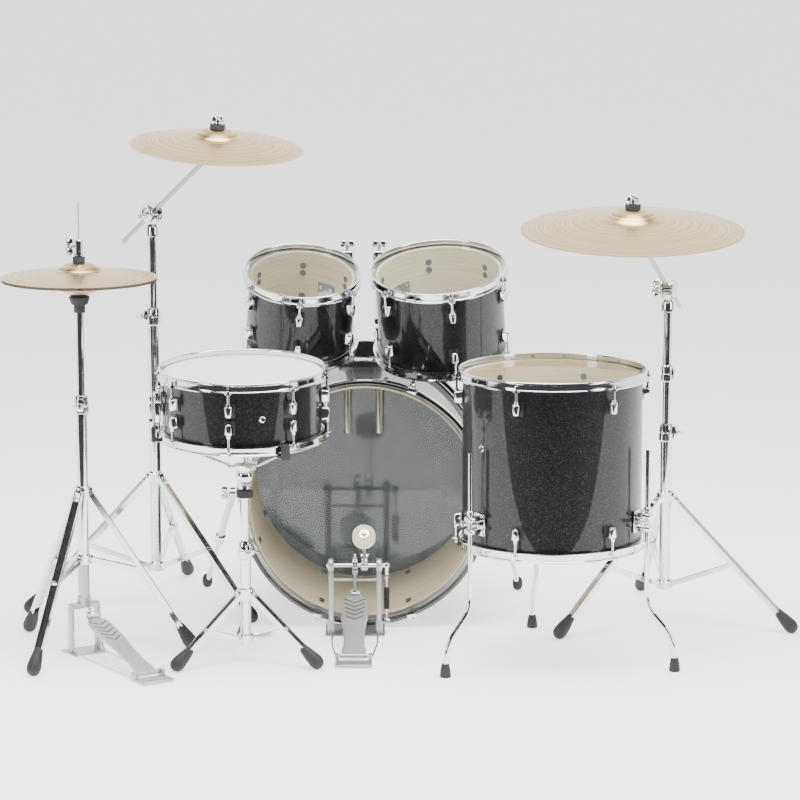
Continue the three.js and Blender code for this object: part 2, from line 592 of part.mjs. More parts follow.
// The basket holds the snare's lower rim with three arms that end in upturned lips.
const lipInner = SNARE.radius + rimReach + BASKET.lipGap;
const lipMiddle = lipInner + BASKET.grip / 2;
const rimBottom = -SNARE.depth - RIM.above;
snare.updateMatrix();
const hubInDrum = vector(0, 0, 0).applyMatrix4(new THREE.Matrix4().copy(snare.matrix).invert());
const basketArms = BASKET.angles.flatMap((angle) => {
  const start = hubInDrum.clone().add(polar(BASKET.hubRadius - BASKET.armInto, angle, 0));
  const armTop = rimBottom - BASKET.arm;
  const shoulder = polar(lipInner - BASKET.shoulder, angle, armTop - BASKET.shoulderGap);
  const tip = polar(lipMiddle, angle, armTop - BASKET.tipGap);
  const lipTop = polar(lipMiddle, angle, rimBottom + BASKET.lip);
  return [bar(start, shoulder, BASKET.armWidth, BASKET.arm),
    bar(shoulder, tip, BASKET.armWidth, BASKET.arm), rod(tip, lipTop, BASKET.grip / 2, 8)];
});
addPart(snare, 'snare_stand_basket', join(
  new THREE.SphereGeometry(BASKET.hubRadius, 10, 6).translate(hubInDrum.x, hubInDrum.y, hubInDrum.z),
  ...basketArms), chrome());

// ----------------------------------------------------------------------------- cymbals

// Turned cymbal: its edge at height 0, a bowed body, and a raised bell that is flat round
// the hole, where the felts press.
function cymbalShape(cymbal) {
  const t = cymbal.thickness;
  const bellTop = cymbal.bow + cymbal.bellHeight;
  const outside = [
    [BOOM.feltRadius + 1, bellTop],
    [cymbal.bell * 0.75, cymbal.bow + 0.6 * cymbal.bellHeight],
    [cymbal.bell, cymbal.bow],
  ];
  const inside = outside.map(([radius, height]) => [radius, height - t]);
  return turned([[cymbal.hole, bellTop - t], ...inside, [cymbal.radius, 0],
    [cymbal.radius, t / 2], ...outside.reverse(), [cymbal.hole, bellTop], [cymbal.hole, bellTop - t]],
  cymbal.sides);
}

// ------------------------------------------------------------------------------ hi-hat

const hihat = addGroup(kit, 'hihat_place', HIHAT_STAND.x, HIHAT_STAND.y, 0);
const hihatPedal = new THREE.Group();
hihatPedal.rotation.z = radians(HIHAT.toTurn);
hihat.add(hihatPedal);

// Heel plate with two hinge ears, and the two rods that tie it to the pedal's frame.
function heelShapes(size, frameY) {
  const half = size.plateWidth / 2;
  const rodHeel = size.heelY - HEEL.rodInto;
  return [
    block(vector(-half, size.heelY - size.heelLength, 0), vector(half, size.heelY - HEEL.gap, HEEL.height)),
    ...[-1, 1].map((side) => block(
      vector(Math.min(side * half, side * (half - HEEL.ear)), size.heelY - HEEL.earBack, 0),
      vector(Math.max(side * half, side * (half - HEEL.ear)), size.heelY + HEEL.earFront,
        size.heelZ + HEEL.earAbove))),
    ...[-1, 1].map((side) => rod(vector(side * LINK_ROD.spread, frameY, LINK_ROD.radius),
      vector(side * LINK_ROD.spread, rodHeel, LINK_ROD.radius), LINK_ROD.radius)),
  ];
}

// Footboard with its hinge barrel between the ears.
function boardShape(size) {
  const barrelHalf = size.plateWidth / 2 - HEEL.ear - BOARD.barrelGap;
  const toe = vector(0, size.toeY - size.heelY, size.toeZ - size.heelZ);
  return join(rod(vector(-barrelHalf, 0, 0), vector(barrelHalf, 0, 0), BOARD.barrel, 10),
    bar(vector(0, 0, 0), toe, size.plateWidth - BOARD.narrower, BOARD.thickness));
}

// A cast frame carries the tube on two side bars and a bridge over the board's toe.
const pedal = HIHAT_PEDAL;
const frameOut = pedal.frameHalf + pedal.bar;
const barHalf = pedal.barDepth / 2;
const pedalFrame = join(
  block(vector(-frameOut, -pedal.plateLength / 2, 0), vector(frameOut, pedal.plateLength / 2, pedal.plate)),
  ...[-1, 1].map((side) => block(
    vector(side * pedal.frameHalf - pedal.bar / 2, -barHalf, pedal.plate / 2),
    vector(side * pedal.frameHalf + pedal.bar / 2, barHalf, pedal.frameTop))),
  block(vector(-pedal.frameHalf, -barHalf, pedal.frameTop - pedal.bridge),
    vector(pedal.frameHalf, barHalf, pedal.frameTop)),
  disc(0, 0, pedal.frameTop - pedal.bridge / 2, HIHAT_STAND.lower, HIHAT_STAND.tube),
  ...heelShapes(pedal, -pedal.plateLength / 4),
);
const frameInStand = pedalFrame.rotateZ(radians(HIHAT.toTurn));
const rodClear = disc(0, 0, pedal.frameTop - 2 * pedal.bridge, HIHAT_STAND.clamp,
  HIHAT_STAND.bore + RUNNING);
const hihatBase = cut(join(tripodShape(HIHAT_STAND, -90), frameInStand), rodClear);
addPart(hihat, 'hihat_base', hihatBase, chrome());

const hihatBoardPivot = addGroup(hihatPedal, 'hihat_board_pivot', 0, pedal.heelY, pedal.heelZ);
addPart(hihatBoardPivot, 'hihat_footboard', boardShape(pedal), steel());

// The upper tube carries the cup and the felt that the lower cymbal lies on.
const upperLow = HIHAT_STAND.clamp - HIHAT.insert;
const bottomEdge = HIHAT.edge - HIHAT.opening / 2;
const topEdge = HIHAT.edge + HIHAT.opening / 2;
const bellRise = HIHAT_CYMBAL.bow + HIHAT_CYMBAL.bellHeight;
const cupTop = bottomEdge - bellRise - CLEARANCE;
const cupLow = cupTop - HIHAT.cupHeight;
const upperTube = join(disc(0, 0, upperLow, cupTop - HIHAT.cupHeight / 2, HIHAT.upper),
  disc(0, 0, cupLow, cupTop, HIHAT.cupFoot, 12, HIHAT.cupTop));
const upperBore = disc(0, 0, upperLow - HIHAT.rodBelow, cupTop + HIHAT.rodBelow, HIHAT.rod + RUNNING);
addPart(hihat, 'hihat_upper_tube', cut(upperTube, upperBore), chrome());
addPart(hihat, 'hihat_bottom_cymbal',
  cymbalShape(HIHAT_CYMBAL).rotateX(Math.PI).translate(0, 0, bottomEdge), bronze());
addPart(hihat, 'hihat_top_cymbal', cymbalShape(HIHAT_CYMBAL).translate(0, 0, topEdge), bronze());

// The rod runs up through the clutch, which grips it and carries the upper cymbal.
const clutchLow = topEdge + bellRise + CLEARANCE;
const clutchFelt = clutchLow + HIHAT.feltHeight;
const clutch = join(
  disc(0, 0, clutchLow, clutchFelt, HIHAT.felt, 12),
  disc(0, 0, clutchFelt - 1, clutchFelt + HIHAT.clutchHeight, HIHAT.clutchRadius, 12),
  wingBolt(HIHAT.clutchRadius, HIHAT.wingAngle, clutchLow + HIHAT.wingUp));
const clutchBore = disc(0, 0, topEdge, HIHAT.rodTop, HIHAT.rod + CLEARANCE);
addPart(hihat, 'hihat_pull_rod',
  disc(0, 0, upperLow - HIHAT.rodBelow, HIHAT.rodTop, HIHAT.rod), chrome());
addPart(hihat, 'hihat_clutch', cut(clutch, clutchBore), chrome());

// ------------------------------------------------------------------------ boom stands

// A boom passes through the tilter on the stand's tube and carries the cymbal's pin.
function addBoomStand(stand, boom, cymbal, name, wingAngle) {
  const group = addStand(stand, wingAngle);
  const pivot = addGroup(group, `${name}_boom_pivot`, 0, 0, boom.pivotZ);
  const seat = addGroup(pivot, `${name}_seat`, boom.x - stand.x, boom.y - stand.y, boom.z - boom.pivotZ);
  lean(seat, boom.toPlayer, boom.toRight);
  pivot.updateMatrixWorld(true);
  seat.updateMatrix();

  // The tilter's two cheeks stand either side of the boom's eye on the hinge pin.
  const level = vector(seat.position.x, seat.position.y, 0).normalize();
  const across = level.clone().cross(UP);
  const beside = (distance, z) => across.clone().multiplyScalar(distance).setZ(z);
  const cheekIn = TILTER.width / 2 + RUNNING;
  const cheekOut = cheekIn + TILTER.cheek;
  const cheekMiddle = (cheekIn + cheekOut) / 2;
  const neckZ = boom.pivotZ - TILTER.radius - TILTER.neckGap;
  const neckLow = neckZ + 2 - TILTER.neckHeight;
  const seamRadius = boom.tube + SEAM.wall;
  addPart(group, `${name}_tube`, join(
    disc(0, 0, stand.clamp - boom.insert, neckZ - TILTER.neckGap, boom.tube),
    disc(0, 0, neckLow, neckZ + 2, TILTER.neck),
    ...[-1, 1].map((side) => rod(beside(side * cheekIn, boom.pivotZ),
      beside(side * cheekOut, boom.pivotZ), TILTER.radius, 12)),
    ...[-1, 1].map((side) => rod(beside(side * cheekMiddle, neckZ - TILTER.armStart),
      beside(side * cheekMiddle, boom.pivotZ), TILTER.arm)),
    ...(boom.seamZ ? [disc(0, 0, boom.seamZ - SEAM.half, boom.seamZ + SEAM.half, seamRadius)] : [])),
  chrome());

  // Boom, in its pivot's frame: straight rod, eye, and the pin square to the cymbal.
  const normal = vector(0, 0, 1).applyQuaternion(seat.quaternion);
  const bellTop = cymbal.bow + cymbal.bellHeight;
  const bellUnder = bellTop - cymbal.thickness - CLEARANCE;
  const onPin = (height) => seat.position.clone().addScaledVector(normal, height);
  const pinFoot = onPin(bellUnder - BOOM.pinDrop);
  const tail = pinFoot.clone().normalize().multiplyScalar(-boom.behind);
  addPart(pivot, `${name}_boom`, join(
    rod(tail, pinFoot, BOOM.radius),
    rod(beside(-TILTER.width / 2, 0), beside(TILTER.width / 2, 0), BOOM.eye, 12),
    rod(pinFoot, onPin(bellTop + BOOM.pinAbove), BOOM.pin, 8),
    rod(onPin(bellUnder - BOOM.feltHeight), onPin(bellUnder), BOOM.feltRadius, 10),
    rod(onPin(bellTop + CLEARANCE), onPin(bellTop + BOOM.feltHeight), BOOM.feltRadius, 10)), chrome());
  addPart(seat, `${name}_cymbal`, cymbalShape(cymbal), bronze());
}

addBoomStand(CRASH_STAND, CRASH, CRASH_CYMBAL, 'crash', 200);
addBoomStand(RIDE_STAND, RIDE, RIDE_CYMBAL, 'ride', -20);

// -------------------------------------------------------------------------- kick pedal

const kick = addGroup(kit, 'kick_place', KICK.x, 0, 0);
const postHalf = vector(KICK.postWidth / 2, KICK.postDepth / 2, 0);
const kickPosts = [-1, 1].map((side) => block(
  vector(side * KICK.postSpread - postHalf.x, KICK.postY - postHalf.y, KICK.plate / 2),
  vector(side * KICK.postSpread + postHalf.x, KICK.postY + postHalf.y, KICK.postTop)));
const axleBore = rod(vector(-KICK.postSpread * 2, KICK.postY, KICK.axle),
  vector(KICK.postSpread * 2, KICK.postY, KICK.axle), KICK.axleRadius + RUNNING, 12);
const springFootTop = SPRING.footZ + SPRING.footHeight;
const springFoot = block(
  vector(KICK.postSpread, KICK.postY - SPRING.footDepth / 2, SPRING.footZ),
  vector(SPRING.x + SPRING.radius, KICK.postY + SPRING.footDepth / 2, springFootTop));
const kickFrame = join(
  block(vector(-KICK.baseHalf, KICK.baseFront - KICK.baseDepth, 0),
    vector(KICK.baseHalf, KICK.baseFront, KICK.plate)),
  ...kickPosts, ...heelShapes(KICK, KICK.postY), springFoot);
addPart(kick, 'kick_pedal_frame', cut(kickFrame, axleBore), chrome());

const kickBoardPivot = addGroup(kick, 'kick_board_pivot', 0, KICK.heelY, KICK.heelZ);
addPart(kickBoardPivot, 'kick_pedal_footboard', boardShape(KICK), steel());

// The axle carries the sprocket, the spring's crank and the beater's clamp and shaft.
const beaterPivot = addGroup(kick, 'kick_beater_pivot', 0, KICK.postY, KICK.axle);
const onShaft = (distance) => vector(BEATER.x, -distance * Math.sin(radians(BEATER.lean)),
  distance * Math.cos(radians(BEATER.lean)));
const axleLeft = -KICK.postSpread - postHalf.x - KICK.axleOver;
addPart(beaterPivot, 'kick_pedal_beater', join(
  rod(vector(axleLeft, 0, 0), vector(SPRING.x + SPRING.radius, 0, 0), KICK.axleRadius, 8),
  rod(vector(-KICK.sprocketWidth / 2, 0, 0), vector(KICK.sprocketWidth / 2, 0, 0), KICK.sprocket, 16),
  rod(vector(BEATER.x - BEATER.clampHalf, 0, 0), vector(BEATER.x + BEATER.clampHalf, 0, 0),
    BEATER.clamp, 10),
  rod(onShaft(-BEATER.tail), onShaft(BEATER.length), BEATER.shaft, 8),
  rod(onShaft(BEATER.length - BEATER.depth / 2), onShaft(BEATER.length + BEATER.depth / 2),
    BEATER.radius, 16),
  block(vector(SPRING.x - SPRING.crankHalf, -SPRING.crankDepth / 2, -SPRING.crankDown),
    vector(SPRING.x + SPRING.crankHalf, SPRING.crankDepth / 2, SPRING.crankUp))), felt());
addPart(kick, 'kick_pedal_spring', disc(SPRING.x, KICK.postY, springFootTop + CLEARANCE,
  KICK.axle - SPRING.crankDown - CLEARANCE, SPRING.radius, 10), steel());

export default kit;
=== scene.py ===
# An acoustic drum kit: five drums in a black glitter wrap, with bronze cymbals on
# chromed stands, in a plain white studio. Metres, +Z up, the player on the -Y side.
import json
import math

import bmesh
import bpy
from mathutils import Matrix, Vector


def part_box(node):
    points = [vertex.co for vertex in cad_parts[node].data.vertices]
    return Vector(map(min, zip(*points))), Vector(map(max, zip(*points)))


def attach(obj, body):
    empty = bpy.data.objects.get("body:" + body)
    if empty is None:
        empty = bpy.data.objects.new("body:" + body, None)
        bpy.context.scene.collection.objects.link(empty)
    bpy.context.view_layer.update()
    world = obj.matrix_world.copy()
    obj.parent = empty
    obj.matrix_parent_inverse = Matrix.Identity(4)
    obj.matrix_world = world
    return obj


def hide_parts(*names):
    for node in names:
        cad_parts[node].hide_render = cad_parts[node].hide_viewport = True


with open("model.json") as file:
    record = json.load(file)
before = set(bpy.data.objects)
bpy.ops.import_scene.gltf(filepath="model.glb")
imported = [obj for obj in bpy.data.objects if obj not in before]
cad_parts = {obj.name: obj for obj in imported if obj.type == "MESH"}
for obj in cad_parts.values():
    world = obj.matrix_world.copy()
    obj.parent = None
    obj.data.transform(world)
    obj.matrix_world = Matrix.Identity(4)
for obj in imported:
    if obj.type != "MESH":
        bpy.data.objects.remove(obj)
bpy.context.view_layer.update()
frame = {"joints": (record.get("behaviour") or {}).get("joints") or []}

joints = {joint["name"]: joint for joint in frame["joints"]}


# Two tall soft boxes and one overhead give the long soft bands on the gloss wrap.
def linear(hex_colour):
    channels = [int(hex_colour[i:i + 2], 16) / 255 for i in (1, 3, 5)]
    return tuple(c / 12.92 if c <= 0.04045 else ((c + 0.055) / 1.055) ** 2.4 for c in channels) + (1.0,)


def node(tree, kind, inputs=None, **settings):
    made = tree.nodes.new(kind)
    for name, value in settings.items():
        setattr(made, name, value)
    for name, value in (inputs or {}).items():
        if isinstance(value, bpy.types.NodeSocket):
            tree.links.new(value, made.inputs[name])
        else:
            made.inputs[name].default_value = value
    return made


def at(x, y, z):
    return Matrix.Translation((x, y, z))


def new_finish(name, **uniform):
    finish = bpy.data.materials.new(name)
    finish.use_nodes = True
    shader = finish.node_tree.nodes["Principled BSDF"]
    for socket, value in uniform.items():
        shader.inputs[socket.replace("_", " ")].default_value = value
    return finish, finish.node_tree, shader


CAMERA_PLACE = (0.0834, -8.2436, 1.9852)
CAMERA_PITCH = math.radians(80.1)
camera_data = bpy.data.cameras.new("camera")
camera_data.lens = 160.5
camera_data.sensor_width = 36
camera = bpy.data.objects.new("camera", camera_data)
camera.location = CAMERA_PLACE
camera.rotation_euler = (CAMERA_PITCH, 0, 0)
bpy.context.scene.collection.objects.link(camera)
bpy.context.scene.camera = camera

FLOOR_WIDTH = 120
FLOOR_NEAR_Y = -1.75
floor_mesh = bpy.data.meshes.new("studio_floor")
floor_bm = bmesh.new()
bmesh.ops.create_grid(floor_bm, x_segments=1, y_segments=1, size=FLOOR_WIDTH / 2,
                      matrix=at(0, FLOOR_WIDTH / 2 + FLOOR_NEAR_Y, 0))
floor_bm.to_mesh(floor_mesh)
floor_bm.free()
studio_floor = bpy.data.objects.new("studio_floor", floor_mesh)
floor_paint, _, _ = new_finish("white acrylic lit from below", Base_Color=linear("#f7f7f7"), Roughness=0.9,
                               Emission_Color=linear("#ffffff"), Emission_Strength=1.3)
floor_mesh.materials.append(floor_paint)
bpy.context.scene.collection.objects.link(studio_floor)

studio_air = bpy.data.worlds.new("studio")
studio_air.use_nodes = True
air = studio_air.node_tree
facing = node(air, "ShaderNodeSeparateXYZ", {"Vector": node(air, "ShaderNodeTexCoord").outputs["Generated"]})
to_backdrop = node(air, "ShaderNodeMath", {0: facing.outputs["Z"], 1: -0.6, 2: facing.outputs["Y"]},
                   operation="MULTIPLY_ADD")
room_tone = node(air, "ShaderNodeValToRGB", {"Fac": node(air, "ShaderNodeMapRange",
                                                         {"Value": to_backdrop.outputs["Value"],
                                                          "From Min": -1.0,
                                                          "From Max": 1.0}).outputs["Result"]})
room_tone.color_ramp.elements[0].position = 0.38
room_tone.color_ramp.elements[0].color = linear("#2f2f30")
room_tone.color_ramp.elements[1].position = 0.56
room_tone.color_ramp.elements[1].color = linear("#ffffff")
air.links.new(room_tone.outputs["Color"], air.nodes["Background"].inputs["Color"])
air.nodes["Background"].inputs["Strength"].default_value = 2.6
bpy.context.scene.world = studio_air

SOFT_BOXES = [
    # name, place, width, height, watts, aim
    ("left_box", (-3.6, -3.2, 1.9), 1.1, 2.6, 95, (0, 0, 0.5)),
    ("right_box", (3.8, -2.6, 1.9), 1.1, 2.6, 95, (0.2, 0, 0.5)),
    ("top_box", (0.2, -0.9, 3.6), 3.2, 2.4, 340, (0, 0, 0.4)),
]
for name, place, width, height, watts, aim in SOFT_BOXES:
    lamp = bpy.data.lights.new(name, "AREA")
    lamp.shape = "RECTANGLE"
    lamp.size = width
    lamp.size_y = height
    lamp.energy = watts
    box_light = bpy.data.objects.new(name, lamp)
    box_light.location = place
    box_light.rotation_euler = (Vector(aim) - Vector(place)).to_track_quat("-Z", "Y").to_euler()
    bpy.context.scene.collection.objects.link(box_light)


# ---------------------------------------------------------------------------- shells
# Each shell is rolled from wood plies, with the glitter wrap glued outside and the bare
# sealed wood inside. Pairs of lug screws with washers show as dark discs on the wood.
def spun(degrees, axis):
    return Matrix.Rotation(math.radians(degrees), 4, axis)


def peg(bm, place, low_radius, high_radius, length, sides):
    """A plain tapered pin, centred on its place."""
    bmesh.ops.create_cone(bm, cap_ends=True, segments=sides, radius1=low_radius,
                          radius2=high_radius, depth=length, matrix=place)


def turn(bm, profile, steps=96, closed=True):
    """Spins (radius, height) points once round +Z."""
    points = [bm.verts.new((radius, 0, height)) for radius, height in profile]
    chain = list(zip(points, points[1:]))
    if closed:
        chain.append((points[-1], points[0]))
    edges = [bm.edges.new(pair) for pair in chain]
    bmesh.ops.spin(bm, geom=points + edges, axis=(0, 0, 1), cent=(0, 0, 0),
                   angle=math.tau, steps=steps, use_merge=True)


def arc(centre, radius, start, end, count):
    """Points of an arc in the (radius, height) plane, its angles in degrees."""
    turns = [math.radians(start + (end - start) * i / count) for i in range(count + 1)]
    return [(centre[0] + radius * math.cos(a), centre[1] + radius * math.sin(a)) for a in turns]


def make_piece(name, bm, finish, body, nodes, place=Matrix(), crease=35):
    """Puts a bmesh modelled about its own centre in its place, as a piece of a body."""
    bmesh.ops.remove_doubles(bm, verts=bm.verts, dist=1e-6)
    bmesh.ops.recalc_face_normals(bm, faces=bm.faces)
    mesh = bpy.data.meshes.new(name)
    bm.to_mesh(mesh)
    bm.free()
    own_place = mesh.attributes.new("own_place", "FLOAT_VECTOR", "POINT")
    for vertex, own in zip(mesh.vertices, own_place.data):
        own.vector = vertex.co
    mesh.transform(place)
    mesh.polygons.foreach_set("use_smooth", [True] * len(mesh.polygons))
    mesh.set_sharp_from_angle(angle=math.radians(crease))
    mesh.materials.append(finish)
    piece = bpy.data.objects.new(name, mesh)
    bpy.context.scene.collection.objects.link(piece)
    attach(piece, body)
    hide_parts(*nodes)
    return piece


def own_place(tree):
    return node(tree, "ShaderNodeAttribute", attribute_name="own_place").outputs["Vector"]


def relief(tree, shader, height, strength, depth):
    """Raises the surface by a pattern."""
    raised = node(tree, "ShaderNodeBump", {"Height": height, "Strength": strength, "Distance": depth})
    tree.links.new(raised.outputs["Normal"], shader.inputs["Normal"])


def mottle(tree, shader, grain, dark, light, detail):
    """Mixes a surface's two tones in blotches of a real size, and returns their pattern."""
    blotches = node(tree, "ShaderNodeTexNoise", {"Vector": own_place(tree), "Scale": 1 / grain,
                                                 "Detail": detail})
    tone = node(tree, "ShaderNodeValToRGB", {"Fac": blotches.outputs["Fac"]})
    tone.color_ramp.elements[0].color = linear(dark)
    tone.color_ramp.elements[1].color = linear(light)
    tree.links.new(tone.outputs["Color"], shader.inputs["Base Color"])
    return blotches.outputs["Fac"]


# Cellulose glitter wrap, polished: near black, with flakes that flash one by one under a
# clear coat. The flakes are 0.8 mm across.
FLAKE = 0.0008
wrap, tree, shader = new_finish("polished black glitter wrap", Metallic=0.1, Roughness=0.42,
                                Specular_IOR_Level=0.2, Coat_Weight=0.55, Coat_Roughness=0.025)
place_vector = node(tree, "ShaderNodeTexCoord").outputs["Object"]
flakes = node(tree, "ShaderNodeTexVoronoi", {"Vector": place_vector, "Scale": 1 / FLAKE})
flash = node(tree, "ShaderNodeSeparateColor", {"Color": flakes.outputs["Color"]})
flake_tone = node(tree, "ShaderNodeValToRGB", {"Fac": flash.outputs["Red"]})
flake_tone.color_ramp.elements[0].position = 0.0
flake_tone.color_ramp.elements[0].color = linear("#050506")
flake_tone.color_ramp.elements[1].position = 1.0
flake_tone.color_ramp.elements[1].color = linear("#606168")
for stop, tone in ((0.7, "#08080a"), (0.92, "#18181c")):
    flake_tone.color_ramp.elements.new(stop).color = linear(tone)
tree.links.new(flake_tone.outputs["Color"], shader.inputs["Base Color"])
relief(tree, shader, flash.outputs["Green"], 0.35, 0.0004)

# Sealed maple ply, sanded: cream with fine darker streaks that run round the shell.
GRAIN_ACROSS = 0.0035
GRAIN_ALONG = 0.16
ply, tree, shader = new_finish("sealed maple ply", Roughness=0.5)
stretched = node(tree, "ShaderNodeMapping", {"Vector": own_place(tree),
                                             "Scale": (1 / GRAIN_ALONG, 1 / GRAIN_ALONG, 1 / GRAIN_ACROSS)})
streaks = node(tree, "ShaderNodeTexNoise", {"Vector": stretched.outputs["Vector"], "Scale": 1.0,
                                            "Detail": 5.0, "Roughness": 0.6})
ply_tone = node(tree, "ShaderNodeValToRGB", {"Fac": streaks.outputs["Fac"]})
ply_tone.color_ramp.elements[0].position = 0.3
ply_tone.color_ramp.elements[0].color = linear("#cbbd97")
ply_tone.color_ramp.elements[1].position = 0.72
ply_tone.color_ramp.elements[1].color = linear("#efe5c6")
tree.links.new(ply_tone.outputs["Color"], shader.inputs["Base Color"])
relief(tree, shader, streaks.outputs["Fac"], 0.15, 0.0003)

# Blackened steel screw washers: dark and dull.
washer_steel, tree, shader = new_finish("blackened steel washer", Metallic=0.7, Roughness=0.5)
SCUFF = 0.0011
mottle(tree, shader, SCUFF, "#2b2c2e", "#5d5f62", 3.0)

HEAD_INSET = 0.00345  # from a head's middle to the shell's edge


class Drum:
    """A drum's size and place; its depth and place are read from the boxes of its two heads."""

    def __init__(self, name, body, radius, wall, lugs, first_lug, heads):
        self.name = name
        self.body = body
        self.radius = radius
        self.wall = wall
        self.angles = [first_lug + 360 / lugs * i for i in range(lugs)]
        top, bottom = [sum(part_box(head), Vector()) / 2 for head in heads]
        axis = (top - bottom).normalized()
        self.depth = (top - bottom).length + 2 * HEAD_INSET
        lean = Vector((0, 0, 1)).rotation_difference(axis)
        self.place = Matrix.Translation(top + HEAD_INSET * axis) @ lean.to_matrix().to_4x4()

    def far_end(self):
        """The frame of the other end, which looks out of the drum the other way."""
        return self.place @ at(0, 0, -self.depth) @ spun(180, "X")


BASS = Drum("bass", "kit_base", 0.2794, 0.008, 8, -67.5, ("bass_batter_head", "bass_front_head"))
TOM_10 = Drum("tom_10", "small_tom", 0.127, 0.007, 6, -90, ("tom_10_top_head", "tom_10_bottom_head"))
TOM_12 = Drum("tom_12", "large_tom", 0.1524, 0.007, 6, -80.5, ("tom_12_top_head", "tom_12_bottom_head"))
FLOOR_TOM = Drum("floor_tom", "kit_base", 0.2032, 0.007, 6, -114,
                 ("floor_tom_top_head", "floor_tom_bottom_head"))
SNARE = Drum("snare", "snare_drum", 0.1778, 0.007, 8, -97, ("snare_batter_head", "snare_bottom_head"))
DRUMS = (BASS, TOM_10, TOM_12, FLOOR_TOM, SNARE)

WRAP_THICKNESS = 0.0008
SCREW_RADIUS = 0.008
SCREW_GAP = 0.020
LUG_BELOW = 0.048
for drum in DRUMS:
    edge = 0.003
    outer = drum.radius - WRAP_THICKNESS
    inner = drum.radius - drum.wall
    bm = bmesh.new()
    turn(bm, [(inner, -drum.depth + edge), (inner + edge, -drum.depth), (outer - 0.002, -drum.depth),
              (outer, -drum.depth + 0.002), (outer, -0.002), (outer - 0.002, 0), (inner + edge, 0),
              (inner, -edge)], steps=160)
    make_piece(drum.name + "_ply_shell", bm, ply, drum.body, [drum.name + "_shell"],
               drum.place)

    bm = bmesh.new()
    turn(bm, [(outer + 0.00005, -drum.depth + 0.0025), (drum.radius, -drum.depth + 0.003),
              (drum.radius, -0.003), (outer + 0.00005, -0.0025)], steps=160)
    make_piece(drum.name + "_wrap", bm, wrap, drum.body, [drum.name + "_shell"], drum.place)

    rows = (LUG_BELOW, drum.depth - LUG_BELOW)
    bm = bmesh.new()
    for angle in drum.angles:
        for row in rows:
            for side in (-1, 1):
                spot = spun(angle, "Z") @ at(inner - 0.0008, 0, -row + side * SCREW_GAP / 2) @ spun(90, "Y")
                peg(bm, spot, SCREW_RADIUS, SCREW_RADIUS * 0.9, 0.0016, 20)
                peg(bm, spot, 0.0042, 0.0042, 0.005, 6)
    make_piece(drum.name + "_lug_screws", bm, washer_steel, drum.body, [drum.name + "_shell"],
               drum.place)


# ------------------------------------------------------------------------------ rims
# Triple-flanged rims are pressed from steel strip and chromed: a rolled top edge, a tall
# wall, and a lower flange with eight or six ears that the tension rods pull down.

# Polished chrome plate: a clean mirror with patches of handling haze 18 mm across.
HAZE = 0.0182
chrome, tree, shader = new_finish("polished chrome plate", Metallic=1.0, Roughness=0.07)
haze = mottle(tree, shader, HAZE, "#cfd2d5", "#eceef0", 4.0)
haze_rough = node(tree, "ShaderNodeMapRange", {"Value": haze, "To Min": 0.04, "To Max": 0.13})
tree.links.new(haze_rough.outputs["Result"], shader.inputs["Roughness"])

RIM_GAP = 0.007
RIM_WALL = 0.0024
RIM_ABOVE = 0.013
RIM_BELOW = 0.009
RIM_FLANGE = 0.0083
ROLL = 0.0026


def rim_profile(radius):
    inner = radius + RIM_GAP
    outer = inner + RIM_WALL
    low = -RIM_BELOW
    return ([(inner, low), (inner + RIM_FLANGE, low), (inner + RIM_FLANGE, low + RIM_WALL)]
            + arc((outer + 0.003, low + RIM_WALL + 0.003), 0.003, 270, 180, 4)
            + [(outer, RIM_ABOVE - 2 * ROLL - 0.001)]
            + arc((inner + ROLL, RIM_ABOVE - ROLL), ROLL, -20, 180, 8)
            + [(inner, RIM_ABOVE - 2 * ROLL)])


ROD_OFFSET = 0.015
SMALL_DRUMS = (TOM_10, TOM_12, FLOOR_TOM, SNARE)
for drum in SMALL_DRUMS:
    for end, place, mirror in (("top", drum.place, 1), ("bottom", drum.far_end(), -1)):
        bm = bmesh.new()
        turn(bm, rim_profile(drum.radius), steps=144)
        for angle in drum.angles:
            ear = spun(mirror * angle, "Z") @ at(drum.radius + ROD_OFFSET, 0, -RIM_BELOW + 0.0012)
            peg(bm, ear, 0.0085, 0.0085, 0.0034, 24)
        make_piece(f"{drum.name}_{end}_rim_ring", bm, chrome, drum.body,
                   [f"{drum.name}_{end}_rim"], place)

# ---------------------------------------------------------------------- rods and lugs
# A square-headed steel rod with a washer pulls each ear down into a small bullet lug, a
# tapered zinc casting that stands on the wrap on a thin black gasket.

# Moulded rubber: dull and near black, with the pebbled skin of its mould.
PEBBLE = 0.00143
rubber, tree, shader = new_finish("moulded black rubber", Roughness=0.62)
relief(tree, shader, mottle(tree, shader, PEBBLE, "#17181a", "#2c2e30", 4.0), 0.3, 0.0003)

LUG_TOP = 0.035
LUG_HEIGHT = 0.030
LUG_WIDTH = 0.022
LUG_DEPTH = 0.0195
ROD_RADIUS = 0.0028


def slab(bm, size, place, edge=0.001, segments=2):
    """A block with rounded edges."""
    made = bmesh.ops.create_cube(bm, size=1, matrix=place @ Matrix.Diagonal((*size, 1)))
    edges = {e for v in made["verts"] for e in v.link_edges}
    bmesh.ops.bevel(bm, geom=list(edges), offset=edge, segments=segments, profile=0.5,
                    affect="EDGES", material=-1)


def add_lug(bm, place):
    """A bullet lug: a waisted block that narrows to a round nose under the rod."""
    made = bmesh.ops.create_cube(bm, size=1, matrix=place @ Matrix.Diagonal((LUG_DEPTH, LUG_WIDTH,
                                                                             LUG_HEIGHT, 1)))
    faces = {f for v in made["verts"] for f in v.link_faces}
    toward_wall = place.inverted()
    for vert in made["verts"]:
        own = toward_wall @ vert.co
        if own.x > 0:
            own.z *= 0.86
            own.y *= 0.74
        if own.z < 0:
            own.y *= 0.72
        vert.co = place @ own
    edges = {e for f in faces for e in f.edges}
    bmesh.ops.bevel(bm, geom=list(edges), offset=0.0042, segments=4, profile=0.5,
                    affect="EDGES", material=-1)


